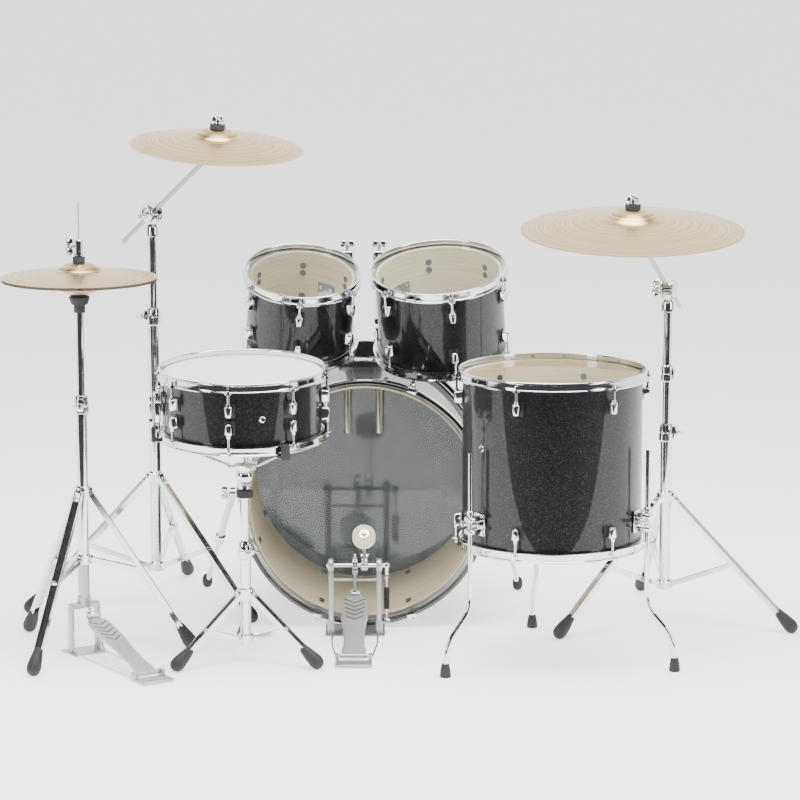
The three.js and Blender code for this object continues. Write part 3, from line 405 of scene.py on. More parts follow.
for drum in SMALL_DRUMS:
    for end, place, mirror in (("top", drum.place, 1), ("bottom", drum.far_end(), -1)):
        rods = bmesh.new()
        lugs = bmesh.new()
        gaskets = bmesh.new()
        for angle in drum.angles:
            turned = spun(mirror * angle, "Z")
            rod_top = -RIM_BELOW + 0.003
            rod_foot = -LUG_TOP - 0.004
            shaft = turned @ at(drum.radius + ROD_OFFSET, 0, (rod_top + rod_foot) / 2)
            peg(rods, shaft, ROD_RADIUS, ROD_RADIUS, rod_top - rod_foot, 14)
            washer = turned @ at(drum.radius + ROD_OFFSET, 0, rod_top + 0.001)
            peg(rods, washer, 0.0062, 0.0058, 0.0018, 20)
            slab(rods, (0.0055, 0.0055, 0.008), turned @ at(drum.radius + ROD_OFFSET, 0, rod_top + 0.006),
                 0.0008)
            middle = -LUG_TOP - LUG_HEIGHT / 2
            add_lug(lugs, turned @ at(drum.radius + 0.0012 + LUG_DEPTH / 2, 0, middle))
            sleeve = turned @ at(drum.radius + ROD_OFFSET, 0, -LUG_TOP + 0.001)
            peg(lugs, sleeve, 0.0055, 0.0045, 0.007, 18)
            slab(gaskets, (0.0011, LUG_WIDTH + 0.002, LUG_HEIGHT + 0.002),
                 turned @ at(drum.radius + 0.0006, 0, middle), 0.0004)
        stands_for = [f"{drum.name}_{end}_rim"]
        make_piece(f"{drum.name}_{end}_rods", rods, chrome, drum.body, stands_for, place)
        make_piece(f"{drum.name}_{end}_lugs", lugs, chrome, drum.body, stands_for, place, 50)
        make_piece(f"{drum.name}_{end}_gaskets", gaskets, rubber, drum.body, stands_for, place)

# ----------------------------------------------------------------------------- heads
# A head is a polyester film with a formed collar, clamped in an aluminium flesh hoop. The
# toms and the bass drum's batter side are clear, and the snare's batter head is sprayed.

# Stretched film is very smooth: only slow waves, 110 and 200 mm long, bend what it reflects.
clear_film, tree, shader = new_finish("clear polyester film", Base_Color=linear("#8d959a"), Roughness=0.06,
                                      Alpha=0.07, Coat_Weight=1.0)
CLEAR_WAVE = 0.111
wave = node(tree, "ShaderNodeTexNoise", {"Vector": own_place(tree), "Scale": 1 / CLEAR_WAVE, "Detail": 3.0})
relief(tree, shader, wave.outputs["Fac"], 0.05, 0.002)

black_film, tree, shader = new_finish("black polyester film", Base_Color=linear("#0d0d0f"), Roughness=0.06,
                                      Coat_Weight=0.4)
BLACK_WAVE = 0.2
wave = node(tree, "ShaderNodeTexNoise", {"Vector": own_place(tree), "Scale": 1 / BLACK_WAVE, "Detail": 2.0})
relief(tree, shader, wave.outputs["Fac"], 0.06, 0.002)

# The sprayed coat is matt and white, with a fine grain that brushes can grip.
SPRAY_GRAIN = 0.00083
coated_film, tree, shader = new_finish("white sprayed polyester film", Roughness=0.75)
relief(tree, shader, mottle(tree, shader, SPRAY_GRAIN, "#d9dad8", "#f2f2f0", 3.0), 0.4, 0.0002)

# The flesh hoop's drawn aluminium has faint marks 2.5 mm apart.
DRAW_MARK = 0.0025
aluminium, tree, shader = new_finish("drawn aluminium hoop", Metallic=1.0, Roughness=0.3,
                                     Base_Color=linear("#c3c6c9"))
marks = node(tree, "ShaderNodeTexNoise", {"Vector": own_place(tree), "Scale": 1 / DRAW_MARK, "Detail": 3.0})
relief(tree, shader, marks.outputs["Fac"], 0.1, 0.0002)

FILM = 0.0004
COLLAR = 0.0016
FLESH_DROP = 0.008


def head_profile(reach):
    top = FILM + 0.0003
    outer = arc((reach - COLLAR, top - COLLAR), COLLAR, 90, 0, 5)
    inner = arc((reach - COLLAR, top - COLLAR), COLLAR - FILM, 0, 90, 5)
    low = -FLESH_DROP + 0.003
    return [(0, top)] + outer + [(reach, low), (reach - FILM, low)] + inner + [(0, top - FILM)]


HEADS = [
    # drum, head, end, film, slot
    (TOM_10, "tom_10_top_head", 1, clear_film, "clear_film"),
    (TOM_10, "tom_10_bottom_head", -1, clear_film, "clear_film"),
    (TOM_12, "tom_12_top_head", 1, clear_film, "clear_film"),
    (TOM_12, "tom_12_bottom_head", -1, clear_film, "clear_film"),
    (FLOOR_TOM, "floor_tom_top_head", 1, clear_film, "clear_film"),
    (FLOOR_TOM, "floor_tom_bottom_head", -1, clear_film, "clear_film"),
    (SNARE, "snare_batter_head", 1, coated_film, "coated_film"),
    (SNARE, "snare_bottom_head", -1, clear_film, "clear_film"),
    (BASS, "bass_batter_head", 1, clear_film, "clear_film"),
    (BASS, "bass_front_head", -1, black_film, "black_film"),
]
for drum, cad_name, end, finish, slot in HEADS:
    place = drum.place if end > 0 else drum.far_end()
    reach = drum.radius + 0.0032
    bm = bmesh.new()
    turn(bm, head_profile(reach), steps=144, closed=False)
    make_piece(cad_name + "_film", bm, finish, drum.body, [cad_name], place)
    bm = bmesh.new()
    turn(bm, [(drum.radius + 0.0014, -FLESH_DROP), (drum.radius + 0.0038, -FLESH_DROP),
              (drum.radius + 0.0038, -0.003), (drum.radius + 0.0033, -0.003),
              (drum.radius + 0.0033, -FLESH_DROP + 0.0025), (drum.radius + 0.0014, -FLESH_DROP + 0.0025)],
         steps=144)
    make_piece(cad_name + "_flesh_hoop", bm, aluminium, drum.body, [cad_name], place)

# ------------------------------------------------------------------ bass drum hoops
# The bass drum's hoops are bent from maple and lacquered black, with a thin tan inlay line.
# Chromed claws hook over them and T-rods draw them to the lugs.

# Gloss lacquer keeps the soft orange peel of the spray gun.
ORANGE_PEEL = 0.00625
lacquer, tree, shader = new_finish("black gloss lacquer", Roughness=0.1, Coat_Weight=1.0, Coat_Roughness=0.02)
relief(tree, shader, mottle(tree, shader, ORANGE_PEEL, "#0a0a0b", "#151517", 2.0), 0.04, 0.001)

HOOP_INNER = BASS.radius + 0.005
HOOP_OUTER = HOOP_INNER + 0.010
HOOP_FRONT = 0.028
HOOP_BACK = -0.010
HOOP_EDGE = 0.002
CLAW_WIDTH = 0.023
T_ROD_RING = BASS.radius + 0.022
BASS_LUG_FROM = 0.046
BASS_LUG_LENGTH = 0.032


def hoop_profile():
    corners = ((HOOP_INNER + HOOP_EDGE, HOOP_BACK + HOOP_EDGE, 180),
               (HOOP_OUTER - HOOP_EDGE, HOOP_BACK + HOOP_EDGE, 270),
               (HOOP_OUTER - HOOP_EDGE, HOOP_FRONT - HOOP_EDGE, 0),
               (HOOP_INNER + HOOP_EDGE, HOOP_FRONT - HOOP_EDGE, 90))
    return [point for x, z, start in corners for point in arc((x, z), HOOP_EDGE, start, start + 90, 3)]


def tube(bm, points, radius, sides=14):
    """A round rod along a few points, its corners rounded by the ring between them."""
    rings = []
    for i, point in enumerate(points):
        before = points[max(i - 1, 0)]
        after = points[min(i + 1, len(points) - 1)]
        turn_to = Vector((0, 0, 1)).rotation_difference((after - before).normalized())
        ring = bmesh.ops.create_circle(bm, segments=sides, radius=radius,
                                       matrix=Matrix.Translation(point) @ turn_to.to_matrix().to_4x4())
        rings.append({e for v in ring["verts"] for e in v.link_edges})
    for ring, following in zip(rings, rings[1:]):
        bmesh.ops.bridge_loops(bm, edges=list(ring | following))
    for ring in (rings[0], rings[-1]):
        bmesh.ops.contextual_create(bm, geom=list(ring))


def rounded(points, radius, steps=5):
    """The same route with each inner corner turned into an arc."""
    route = [points[0]]
    for before, corner, after in zip(points, points[1:], points[2:]):
        into = (before - corner).normalized()
        out = (after - corner).normalized()
        reach = min(radius, (before - corner).length / 2, (after - corner).length / 2)
        for i in range(steps + 1):
            t = i / steps
            route.append(corner + into * reach * (1 - t) ** 2 + out * reach * t ** 2)
    return route + [points[-1]]


for end, place, mirror in (("batter", BASS.place, 1), ("front", BASS.far_end(), -1)):
    stands_for = [f"bass_{end}_hoop"]
    bm = bmesh.new()
    turn(bm, hoop_profile(), steps=192)
    make_piece(f"bass_{end}_wood_hoop", bm, lacquer, "kit_base", stands_for, place)
    claws = bmesh.new()
    t_rods = bmesh.new()
    for angle in BASS.angles:
        turned = spun(mirror * angle, "Z")
        slab(claws, (0.014, CLAW_WIDTH, 0.003), turned @ at(HOOP_OUTER - 0.002, 0, HOOP_FRONT + 0.0012),
             0.0012)
        slab(claws, (0.003, CLAW_WIDTH, 0.026), turned @ at(HOOP_OUTER + 0.0035, 0, HOOP_FRONT - 0.011),
             0.0012)
        slab(claws, (0.012, 0.013, 0.012), turned @ at(T_ROD_RING, 0, HOOP_FRONT - 0.012), 0.003, 3)
        shaft_top = HOOP_FRONT + 0.001
        shaft_low = -BASS_LUG_FROM - 0.004
        peg(t_rods, turned @ at(T_ROD_RING, 0, (shaft_top + shaft_low) / 2), 0.003, 0.003,
            shaft_top - shaft_low, 14)
        slab(t_rods, (0.006, 0.006, 0.008), turned @ at(T_ROD_RING, 0, shaft_top), 0.001)
        lug_middle = -BASS_LUG_FROM - BASS_LUG_LENGTH / 2
        add_lug(claws, turned @ at(BASS.radius + 0.0015 + 0.011, 0, lug_middle)
                @ Matrix.Diagonal((1.25, 1, 1, 1)))
        peg(claws, turned @ at(T_ROD_RING, 0, -BASS_LUG_FROM), 0.006, 0.005, 0.010, 18)
    make_piece(f"bass_{end}_claws_and_lugs", claws, chrome, "kit_base", stands_for, place, 45)
    make_piece(f"bass_{end}_tension_rods", t_rods, chrome, "kit_base", stands_for, place)

# A strip of tan veneer is let into each hoop's outer face.
VENEER_FIGURE = 0.0167
inlay, tree, shader = new_finish("tan veneer inlay", Roughness=0.3, Coat_Weight=0.8)
mottle(tree, shader, VENEER_FIGURE, "#8f7a55", "#b9a37b", 4.0)
for end, place in (("batter", BASS.place), ("front", BASS.far_end())):
    bm = bmesh.new()
    turn(bm, [(HOOP_INNER - 0.0001, 0.020), (HOOP_INNER + 0.001, 0.020), (HOOP_INNER + 0.001, 0.024),
              (HOOP_INNER - 0.0001, 0.024)], steps=192)
    make_piece(f"bass_{end}_inlay", bm, inlay, "kit_base", [f"bass_{end}_hoop"], place)

# ---------------------------------------------------------------------------- spurs
# Two folding spurs keep the bass drum from rolling and creeping. Each is a steel tube with
# a thinner leg clamped inside it, hinged on a cast bracket bolted to the shell.
def along(start, end):
    """A place whose +Z runs from one point towards another."""
    lean = Vector((0, 0, 1)).rotation_difference((end - start).normalized())
    return Matrix.Translation(start) @ lean.to_matrix().to_4x4()


def stack(bm, place, profile, steps=28, bore=0.0):
    """A solid turned about a line from (radius, height) points, with a bore if one is given."""
    made = bmesh.new()
    turn(made, [(bore, profile[0][1])] + profile + [(bore, profile[-1][1])], steps, closed=bore > 0)
    bmesh.ops.remove_doubles(made, verts=made.verts, dist=1e-6)
    bmesh.ops.transform(made, matrix=place, verts=made.verts)
    kept = bpy.data.meshes.new("turned")
    made.to_mesh(kept)
    made.free()
    bm.from_mesh(kept)
    bpy.data.meshes.remove(kept)


def barrel(bm, place, radius, low, high, edge=0.0008, steps=28):
    """A cylinder with softened edges."""
    stack(bm, place, [(radius - edge, low), (radius, low + edge), (radius, high - edge),
                      (radius - edge, high)], steps)


def wing_bolt(bm, place, length, span, thickness=0.0045):
    """A bolt along +Z with two ears that curve up and away from a hub."""
    barrel(bm, place, 0.0034, 0, length, steps=14)
    stack(bm, place, [(0.0065, length - 0.002), (0.0075, length + 0.002), (0.005, length + 0.009)], 18)
    for side in (-1, 1):
        ear = place @ at(side * span / 4, 0, length + 0.006) @ spun(side * 28, "Y")
        made = bmesh.ops.create_uvsphere(bm, u_segments=16, v_segments=10, radius=1, matrix=ear
                                         @ Matrix.Diagonal((span / 4, thickness / 2, 0.0085, 1)))
        bmesh.ops.recalc_face_normals(bm, faces=list({f for v in made["verts"] for f in v.link_faces}))


SPUR_PLACES = (("left", -1, Vector((-0.396, 0.424, 0))), ("right", 1, Vector((0.375, 0.393, 0))))
for side_name, side, foot in SPUR_PLACES:
    pivot = Vector(joints[f"spur_{side_name}_fold"]["pos_m"])
    pivot.x = side * 0.3229
    level = Matrix.Translation(pivot) @ spun(90, "Y")
    bm = bmesh.new()
    slab(bm, (0.030, 0.044, 0.044), at(side * 0.2975, pivot.y, pivot.z), 0.005, 3)
    barrel(bm, Matrix.Translation(pivot) @ spun(-side * 90, "Y"), 0.0165, 0.0085, 0.014)
    make_piece(f"bass_spur_bracket_{side_name}", bm, chrome, "kit_base", ["bass_shell"])

    foot_top = foot + Vector((0, 0, 0.013))
    run = along(pivot, foot_top)
    length = (foot_top - pivot).length
    bm = bmesh.new()
    barrel(bm, level, 0.0155, -0.0075, 0.0075, 0.0015)
    stack(bm, run, [(0.009, 0.008), (0.009, 0.155), (0.0088, 0.156)], 24)
    stack(bm, run, [(0.0105, 0.148), (0.0125, 0.150), (0.0125, 0.172), (0.0095, 0.176)], 24)
    barrel(bm, run, 0.0058, 0.170, length)
    wing_bolt(bm, level @ spun(0 if side > 0 else 180, "Y"), 0.014, 0.034)
    make_piece(f"bass_spur_leg_{side_name}", bm, chrome, f"spur_{side_name}", [f"bass_spur_{side_name}"])
    bm = bmesh.new()
    stack(bm, Matrix.Translation(foot), [(0.004, 0), (0.0095, 0.0035), (0.0125, 0.010), (0.0125, 0.022),
                                         (0.010, 0.029), (0.0072, 0.033)], 28)
    make_piece(f"bass_spur_foot_{side_name}", bm, rubber, f"spur_{side_name}",
               [f"bass_spur_{side_name}"])

# ------------------------------------------------------------------------ tom mount
# A cast saddle bolted on top of the bass shell holds two steel posts. Each post ends in a
# clamp block that grips the ball of the tom's L-rod, with a wing bolt on top.
MOUNT_X = -0.006
MOUNT_Y = 0.36
MOUNT_TOP = 0.6404
BALL_Z = joints["small_tom_tilt"]["pos_m"][2]
POST_XS = (joints["small_tom_tilt"]["pos_m"][0], joints["large_tom_tilt"]["pos_m"][0])

# Powder coat melts into a satin skin with a grain finer than a millimetre.
POWDER_GRAIN = 0.00067
black_paint, tree, shader = new_finish("black powder coat on die-cast zinc", Roughness=0.45)
relief(tree, shader, mottle(tree, shader, POWDER_GRAIN, "#141415", "#252628", 3.0), 0.3, 0.0002)

bass_centre = BASS.place.translation
bm = bmesh.new()
ring = [bm.verts.new((0, y, r)) for r, y in ((0.2798, -0.040), (0.2868, -0.040), (0.2868, 0.040),
                                             (0.2798, 0.040))]
ring_edges = [bm.edges.new((ring[i], ring[(i + 1) % 4])) for i in range(4)]
bmesh.ops.transform(bm, matrix=spun(-12.5, "Y"), verts=ring)
bmesh.ops.contextual_create(bm, geom=ring_edges)
swept = bmesh.ops.spin(bm, geom=ring + ring_edges, axis=(0, 1, 0), cent=(0, 0, 0),
                       angle=math.radians(25), steps=20)
bmesh.ops.contextual_create(bm, geom=[e for e in swept["geom_last"] if isinstance(e, bmesh.types.BMEdge)])
for side in (-1, 1):
    receiver = at(side * 0.039, 0, 0)
    stack(bm, receiver, [(0.017, 0.2800), (0.0185, 0.2830), (0.0185, 0.2900), (0.0155, 0.2950),
                         (0.0145, 0.335), (0.016, 0.3375), (0.016, 0.3405)], 32)
    wing_bolt(bm, at(side * 0.052, 0, 0.323) @ spun(side * 90, "Y"), 0.012, 0.036)
for corner_x in (-0.050, 0.050):
    for corner_y in (-0.030, 0.030):
        bmesh.ops.create_uvsphere(bm, u_segments=16, v_segments=8, radius=0.0055,
                                  matrix=at(corner_x, corner_y, 0.2830))
slab(bm, (0.052, 0.020, 0.0045), at(0, 0, 0.3310), 0.0015)
slab(bm, (0.052, 0.020, 0.0045), at(0, 0, 0.2920), 0.0015)
MOUNT_PLACE = at(MOUNT_X, MOUNT_Y, bass_centre.z)
make_piece("tom_mount_casting", bm, chrome, "kit_base", ["tom_mount"], MOUNT_PLACE)
bm = bmesh.new()
slab(bm, (0.050, 0.019, 0.036), at(0, 0, 0.3115), 0.001)
make_piece("tom_mount_insert", bm, black_paint, "kit_base", ["tom_mount"], MOUNT_PLACE)

# Drawn steel is satin, with fine lines 80 mm long that run along it.
LINE_ACROSS = 0.00111
LINE_ALONG = 0.0833
brushed, tree, shader = new_finish("satin drawn steel tube", Metallic=1.0, Roughness=0.25)
pull = node(tree, "ShaderNodeMapping", {"Vector": own_place(tree),
                                        "Scale": (1 / LINE_ACROSS, 1 / LINE_ACROSS, 1 / LINE_ALONG)})
pull_lines = node(tree, "ShaderNodeTexNoise", {"Vector": pull.outputs["Vector"], "Scale": 1.0, "Detail": 3.0})
pull_tone = node(tree, "ShaderNodeValToRGB", {"Fac": pull_lines.outputs["Fac"]})
pull_tone.color_ramp.elements[0].color = linear("#7c7f82")
pull_tone.color_ramp.elements[1].color = linear("#b2b5b8")
tree.links.new(pull_tone.outputs["Color"], shader.inputs["Base Color"])

for side_name, post_x in zip(("left", "right"), POST_XS):
    upright = at(post_x, MOUNT_Y, 0)
    bm = bmesh.new()
    stack(bm, upright, [(0.0090, 0.4024), (0.0095, 0.4029), (0.0095, BALL_Z - 0.018)], 32)
    barrel(bm, upright, 0.0150, MOUNT_TOP + 0.0005, MOUNT_TOP + 0.0145, 0.0015)
    wing_bolt(bm, upright @ at(0, 0.013, MOUNT_TOP + 0.0075) @ spun(-90, "X"), 0.010, 0.024)
    for half in (-1, 1):
        slab(bm, (0.031, 0.0145, 0.038), upright @ at(0, half * 0.0082, BALL_Z), 0.004, 3)
    barrel(bm, upright, 0.0045, BALL_Z + 0.017, BALL_Z + 0.030)
    wing_bolt(bm, upright @ at(0, 0, BALL_Z + 0.018), 0.010, 0.036)
    make_piece(f"tom_post_{side_name}_tube", bm, chrome, f"post_{side_name}", [f"tom_post_{side_name}"])

# ---------------------------------------------------------------- tom rods and brackets
# A ball-ended steel rod bends down beside each tom and is clamped in a cast bracket that
# is bolted through the shell. Inside, a plate spreads the load over the wood.
for drum, post_x, ball_side, bracket_angle in ((TOM_10, POST_XS[0], -1, 60), (TOM_12, POST_XS[1], 1, 129.5)):
    into_drum = drum.place.inverted()
    ball = into_drum @ Vector((post_x, MOUNT_Y, BALL_Z))
    stem = into_drum @ Vector((post_x + ball_side * 0.026, MOUNT_Y, BALL_Z))
    turned = spun(bracket_angle, "Z")
    reach = drum.radius + 0.030
    corner = turned @ Vector((reach, 0, stem.z))
    end = turned @ Vector((reach, 0, -0.150))
    bm = bmesh.new()
    bmesh.ops.create_uvsphere(bm, u_segments=28, v_segments=18, radius=0.0108,
                              matrix=Matrix.Translation(ball))
    tube(bm, rounded([ball, stem, corner, end], 0.022), 0.0055, 18)
    block = turned @ at(drum.radius + 0.021, 0, -0.105)
    slab(bm, (0.034, 0.027, 0.042), block, 0.006, 3)
    slab(bm, (0.004, 0.048, 0.054), turned @ at(drum.radius + 0.0028, 0, -0.105), 0.0015)
    wing_bolt(bm, block @ at(0.006, 0.012, 0) @ spun(-90, "X"), 0.010, 0.030)
    make_piece(drum.name + "_rod_and_bracket", bm, chrome, drum.body, [drum.name + "_bracket"],
               drum.place)
    bm = bmesh.new()
    slab(bm, (0.0025, 0.048, 0.056), turned @ at(drum.radius - drum.wall - 0.0018, 0, -0.105), 0.0008)
    for y in (-0.014, 0.014):
        for z in (-0.018, 0.018):
            barrel(bm, turned @ at(drum.radius - drum.wall - 0.0025, y, -0.105 + z) @ spun(-90, "Y"),
                   0.0055, 0, 0.004, steps=6)
    make_piece(drum.name + "_backing_plate", bm, brushed, drum.body, [drum.name + "_shell"],
               drum.place)

# -------------------------------------------------------------------- floor tom legs
# Three bent steel legs slide in cast brackets on the floor tom, each held by a wing bolt,
# and stand on tapered rubber feet.
LEG_RING = 0.2312
for i, angle in enumerate((-144, -24, 96), 1):
    turned = at(*FLOOR_TOM.place.translation.xy, 0) @ spun(angle, "Z")
    body = f"floor_leg_{i}"
    bm = bmesh.new()
    route = [Vector((LEG_RING, 0, 0.503)), Vector((LEG_RING, 0, 0.145)), Vector((0.2942, 0, 0.080)),
             Vector((0.3002, 0, 0.020))]
    tube(bm, rounded(route, 0.030), 0.0055, 18)
    barrel(bm, at(LEG_RING, 0, 0), 0.0085, 0.362, 0.372)
    make_piece(f"floor_tom_leg_{i}_rod", bm, chrome, body, [f"floor_tom_leg_{i}"], turned)
    bm = bmesh.new()
    stack(bm, at(0.3002, 0, 0), [(0.011, 0), (0.0128, 0.002), (0.0128, 0.006), (0.0120, 0.008),
                                 (0.0124, 0.010), (0.0116, 0.013), (0.0118, 0.015), (0.0105, 0.022),
                                 (0.0085, 0.031)], 28)
    make_piece(f"floor_tom_leg_{i}_foot", bm, rubber, body, [f"floor_tom_leg_{i}"], turned)
    bm = bmesh.new()
    slab(bm, (0.004, 0.040, 0.050), at(0.2055, 0, 0.338), 0.0015)
    for low in (0.317, 0.345):
        slab(bm, (0.034, 0.028, 0.014), at(0.2245, 0, low + 0.007), 0.005, 3)
    slab(bm, (0.012, 0.024, 0.034), at(0.2130, 0, 0.338), 0.003, 3)
    wing_bolt(bm, at(0.2320, -0.006, 0.338) @ spun(90, "X"), 0.018, 0.044)
    make_piece(f"floor_tom_leg_bracket_{i}", bm, chrome, "kit_base", ["floor_tom_shell"], turned)

# --------------------------------------------------------------- snare strainer, wires
# A cast throw-off on the player's left slackens the wires under the snare's lower head. A
# butt plate holds their other end, and twenty coiled wires are soldered between two plates.
bm = bmesh.new()
turned = spun(185, "Z")
slab(bm, (0.006, 0.028, 0.078), turned @ at(0.1818, 0, -0.077), 0.002)
slab(bm, (0.018, 0.024, 0.050), turned @ at(0.1920, 0, -0.088), 0.005, 3)
barrel(bm, turned @ at(0.1935, 0, -0.062), 0.0085, 0, 0.020, 0.001, 24)
for y in (-0.010, 0.010):
    barrel(bm, turned @ at(0.2, y, -0.098), 0.0022, -0.016, 0.010, steps=10)
make_piece("snare_strainer_casting", bm, chrome, "snare_drum", ["snare_strainer"], SNARE.place)

bm = bmesh.new()
lever_foot = Vector((0.2084, 0, -0.106))
barrel(bm, Matrix.Translation(lever_foot + Vector((0, -0.009, 0))) @ spun(-90, "X"), 0.0048, 0, 0.018)
slab(bm, (0.0055, 0.014, 0.054), Matrix.Translation(lever_foot + Vector((0, 0, 0.028))), 0.0022, 3)
slab(bm, (0.0058, 0.016, 0.018), Matrix.Translation(lever_foot + Vector((0, 0, 0.046))), 0.0024, 3)
make_piece("snare_strainer_lever_arm", bm, chrome, "strainer_lever", ["snare_strainer_lever"],
           SNARE.place @ turned)

butt_side = spun(5, "Z")
bm = bmesh.new()
slab(bm, (0.012, 0.033, 0.032), butt_side @ at(0.1845, 0, -0.070), 0.003, 3)
for y in (-0.009, 0.009):
    barrel(bm, butt_side @ at(0.1890, y, -0.070) @ spun(90, "Y"), 0.0038, 0, 0.004, steps=18)
make_piece("snare_butt_plate", bm, chrome, "snare_drum", ["snare_shell"], SNARE.place)

WIRES_Z = -0.1432
bm = bmesh.new()
for side in (-1, 1):
    slab(bm, (0.016, 0.042, 0.0012), butt_side @ at(side * 0.150, 0, WIRES_Z), 0.0003)
for strand in range(20):
    y = (strand - 9.5) * 0.0021
    turns = [Vector((-0.150 + 0.30 * k / 120, y + 0.00045 * math.cos(k * 1.9),
                     WIRES_Z + 0.00045 * math.sin(k * 1.9))) for k in range(121)]
    tube(bm, [butt_side @ point for point in turns], 0.00028, 4)
make_piece("snare_wire_strands", bm, brushed, "snare_wires", ["snare_wires"], SNARE.place)

# Air leaves each drum through a vent: a chromed grommet pressed into a hole in the shell,
# one on the snare's front and one on the floor tom's.
for drum, angle, height in ((SNARE, -73.4, 0.070), (FLOOR_TOM, -143, 0.150)):
    bm = bmesh.new()
    spot = spun(angle, "Z") @ at(drum.radius, 0, -height) @ spun(90, "Y")
    turn(bm, [(0.0042, -0.002), (0.0078, 0.0002), (0.0078, 0.0010), (0.0062, 0.0020), (0.0042, 0.0012)],
         steps=32)
    bmesh.ops.transform(bm, matrix=spot, verts=bm.verts)
    make_piece(drum.name + "_vent_grommet", bm, chrome, drum.body, [drum.name + "_shell"],
               drum.place)
    # The shell is not cut through: a dark rubber disc inside the grommet paints the shade of the hole.
    bm = bmesh.new()
    barrel(bm, spot, 0.0045, -0.001, 0.0004, 0.0002)
    make_piece(drum.name + "_vent_painted_shade", bm, rubber, drum.body, [drum.name + "_shell"],
               drum.place)

# ---------------------------------------------------------------------------- tripods
# Every stand has a chromed tube with a moulded height clamp, and three legs pressed from
# doubled steel strip, each tied to a sliding lower collar by a brace, on rubber boots.
def strip(bm, start, end, width, thickness, edge=0.0008, offset=0.0):
    """A flat strip between two points, its width level."""
    run = (end - start).normalized()
    across = run.cross(Vector((0, 0, 1))).normalized()
    through = run.cross(across)
    basis = Matrix((across, through, run)).transposed().to_4x4()
    middle = (start + end) / 2 + across * offset
    slab(bm, (width, thickness, (end - start).length), Matrix.Translation(middle) @ basis, edge, 1)


TUBE_WALL = 0.0025
BOOT_LENGTH = 0.050
BOOT_RADIUS = 0.0165
SNARE_XY = (-0.268, -0.328)
HIHAT_XY = (-0.643, -0.244)
CRASH_XY = (-0.510, 0.245)
RIDE_XY = (0.714, 0.065)
STANDS = {
    # base node: place, leg collar, lower collar, clamp, foot radius, leg angles, tube, clamp's wing
    "snare_stand_base": (SNARE_XY, 0.156, 0.052, 0.259, 0.182, (-146, -26, 94), 0.0125, -60),
    "hihat_base": (HIHAT_XY, 0.376, 0.219, 0.580, 0.244, (-113, 7, 127), 0.013, -90),
    "crash_stand_base": (CRASH_XY, 0.315, 0.094, 0.709, 0.316, (-160.5, -40.5, 79.5), 0.014, 200),
    "ride_stand_base": (RIDE_XY, 0.303, 0.091, 0.459, 0.318, (-144, -24, 96), 0.014, -20),
}
for name, (xy, collar_z, lower_z, clamp_z, foot_ring, angles, radius, wing_angle) in STANDS.items():
    place = at(*xy, 0)
    here = Matrix()
    bm = bmesh.new()
    bore = radius - TUBE_WALL
    stack(bm, here, [(radius - 0.001, lower_z - 0.012), (radius, lower_z - 0.011), (radius, clamp_z)], 32,
          bore)
    stack(bm, here, [(radius + 0.0015, clamp_z - 0.022), (radius + 0.0045, clamp_z - 0.019),
                     (radius + 0.0045, clamp_z - 0.002), (radius + 0.003, clamp_z),
                     (radius + 0.003, clamp_z + 0.017), (radius + 0.001, clamp_z + 0.020)], 36, bore)
    wing = spun(wing_angle, "Z") @ at(radius, 0, clamp_z)
    slab(bm, (0.014, 0.014, 0.030), wing @ at(0.004, 0, 0), 0.003, 2)
    wing_bolt(bm, wing @ spun(90, "Y") @ spun(90, "Z"), 0.015, 0.038)
    for z, tall in ((collar_z, 0.030), (lower_z, 0.024)):
        stack(bm, here, [(radius + 0.002, z - tall / 2), (radius + 0.005, z - tall / 2 + 0.002),
                         (radius + 0.005, z + tall / 2 - 0.003), (radius + 0.002, z + tall / 2)], 32, bore)
    boots = bmesh.new()
    for angle in angles:
        out = spun(angle, "Z")
        top = out @ Vector((0.016, 0, collar_z))
        foot = out @ Vector((foot_ring, 0, 0.016))
        knee = top.lerp(foot, 0.52)
        inner = out @ Vector((0.016, 0, lower_z))
        ankle = top.lerp(foot, 0.93)
        for half in (-1, 1):
            strip(bm, top, ankle, 0.0028, 0.0125, offset=half * 0.0078)
            strip(bm, inner, knee, 0.0024, 0.011, offset=half * 0.0048)
        strip(bm, top.lerp(foot, 0.05), top.lerp(foot, 0.90), 0.0136, 0.0022)
        for along_leg in (0.0, 0.52):
            spot = top.lerp(foot, along_leg)
            barrel(bm, along(spot - (out @ Vector((0, 0.0105, 0))), spot), 0.0048, 0, 0.021, 0.0006, 20)
        barrel(bm, along(inner - (out @ Vector((0, 0.0085, 0))), inner), 0.0045, 0, 0.017, 0.0006, 20)
        slab(bm, (0.012, 0.013, 0.022), out @ at(0.017, 0, collar_z), 0.002)
        slab(bm, (0.012, 0.011, 0.018), out @ at(0.017, 0, lower_z), 0.002)
        run = along(foot + (top - foot).normalized() * BOOT_LENGTH, foot)
        ribs = []
        for k in range(4):
            r = 0.0098 + 0.0012 * k
            z = BOOT_LENGTH * (0.08 + 0.13 * k)
            ribs += [(r, z), (r + 0.0010, z + 0.0025)]
        stack(boots, run, [(0.0088, 0)] + ribs + [(0.0152, BOOT_LENGTH * 0.68),
                                                  (BOOT_RADIUS, BOOT_LENGTH * 0.84),
                                                  (BOOT_RADIUS, BOOT_LENGTH * 0.97)], 24)
        bmesh.ops.create_uvsphere(boots, u_segments=24, v_segments=12, radius=BOOT_RADIUS * 0.97,
                                  matrix=Matrix.Translation(foot))
    make_piece(name + "_steel", bm, chrome, "kit_base", [name], place)
    make_piece(name + "_boots", boots, rubber, "kit_base", [name], place)

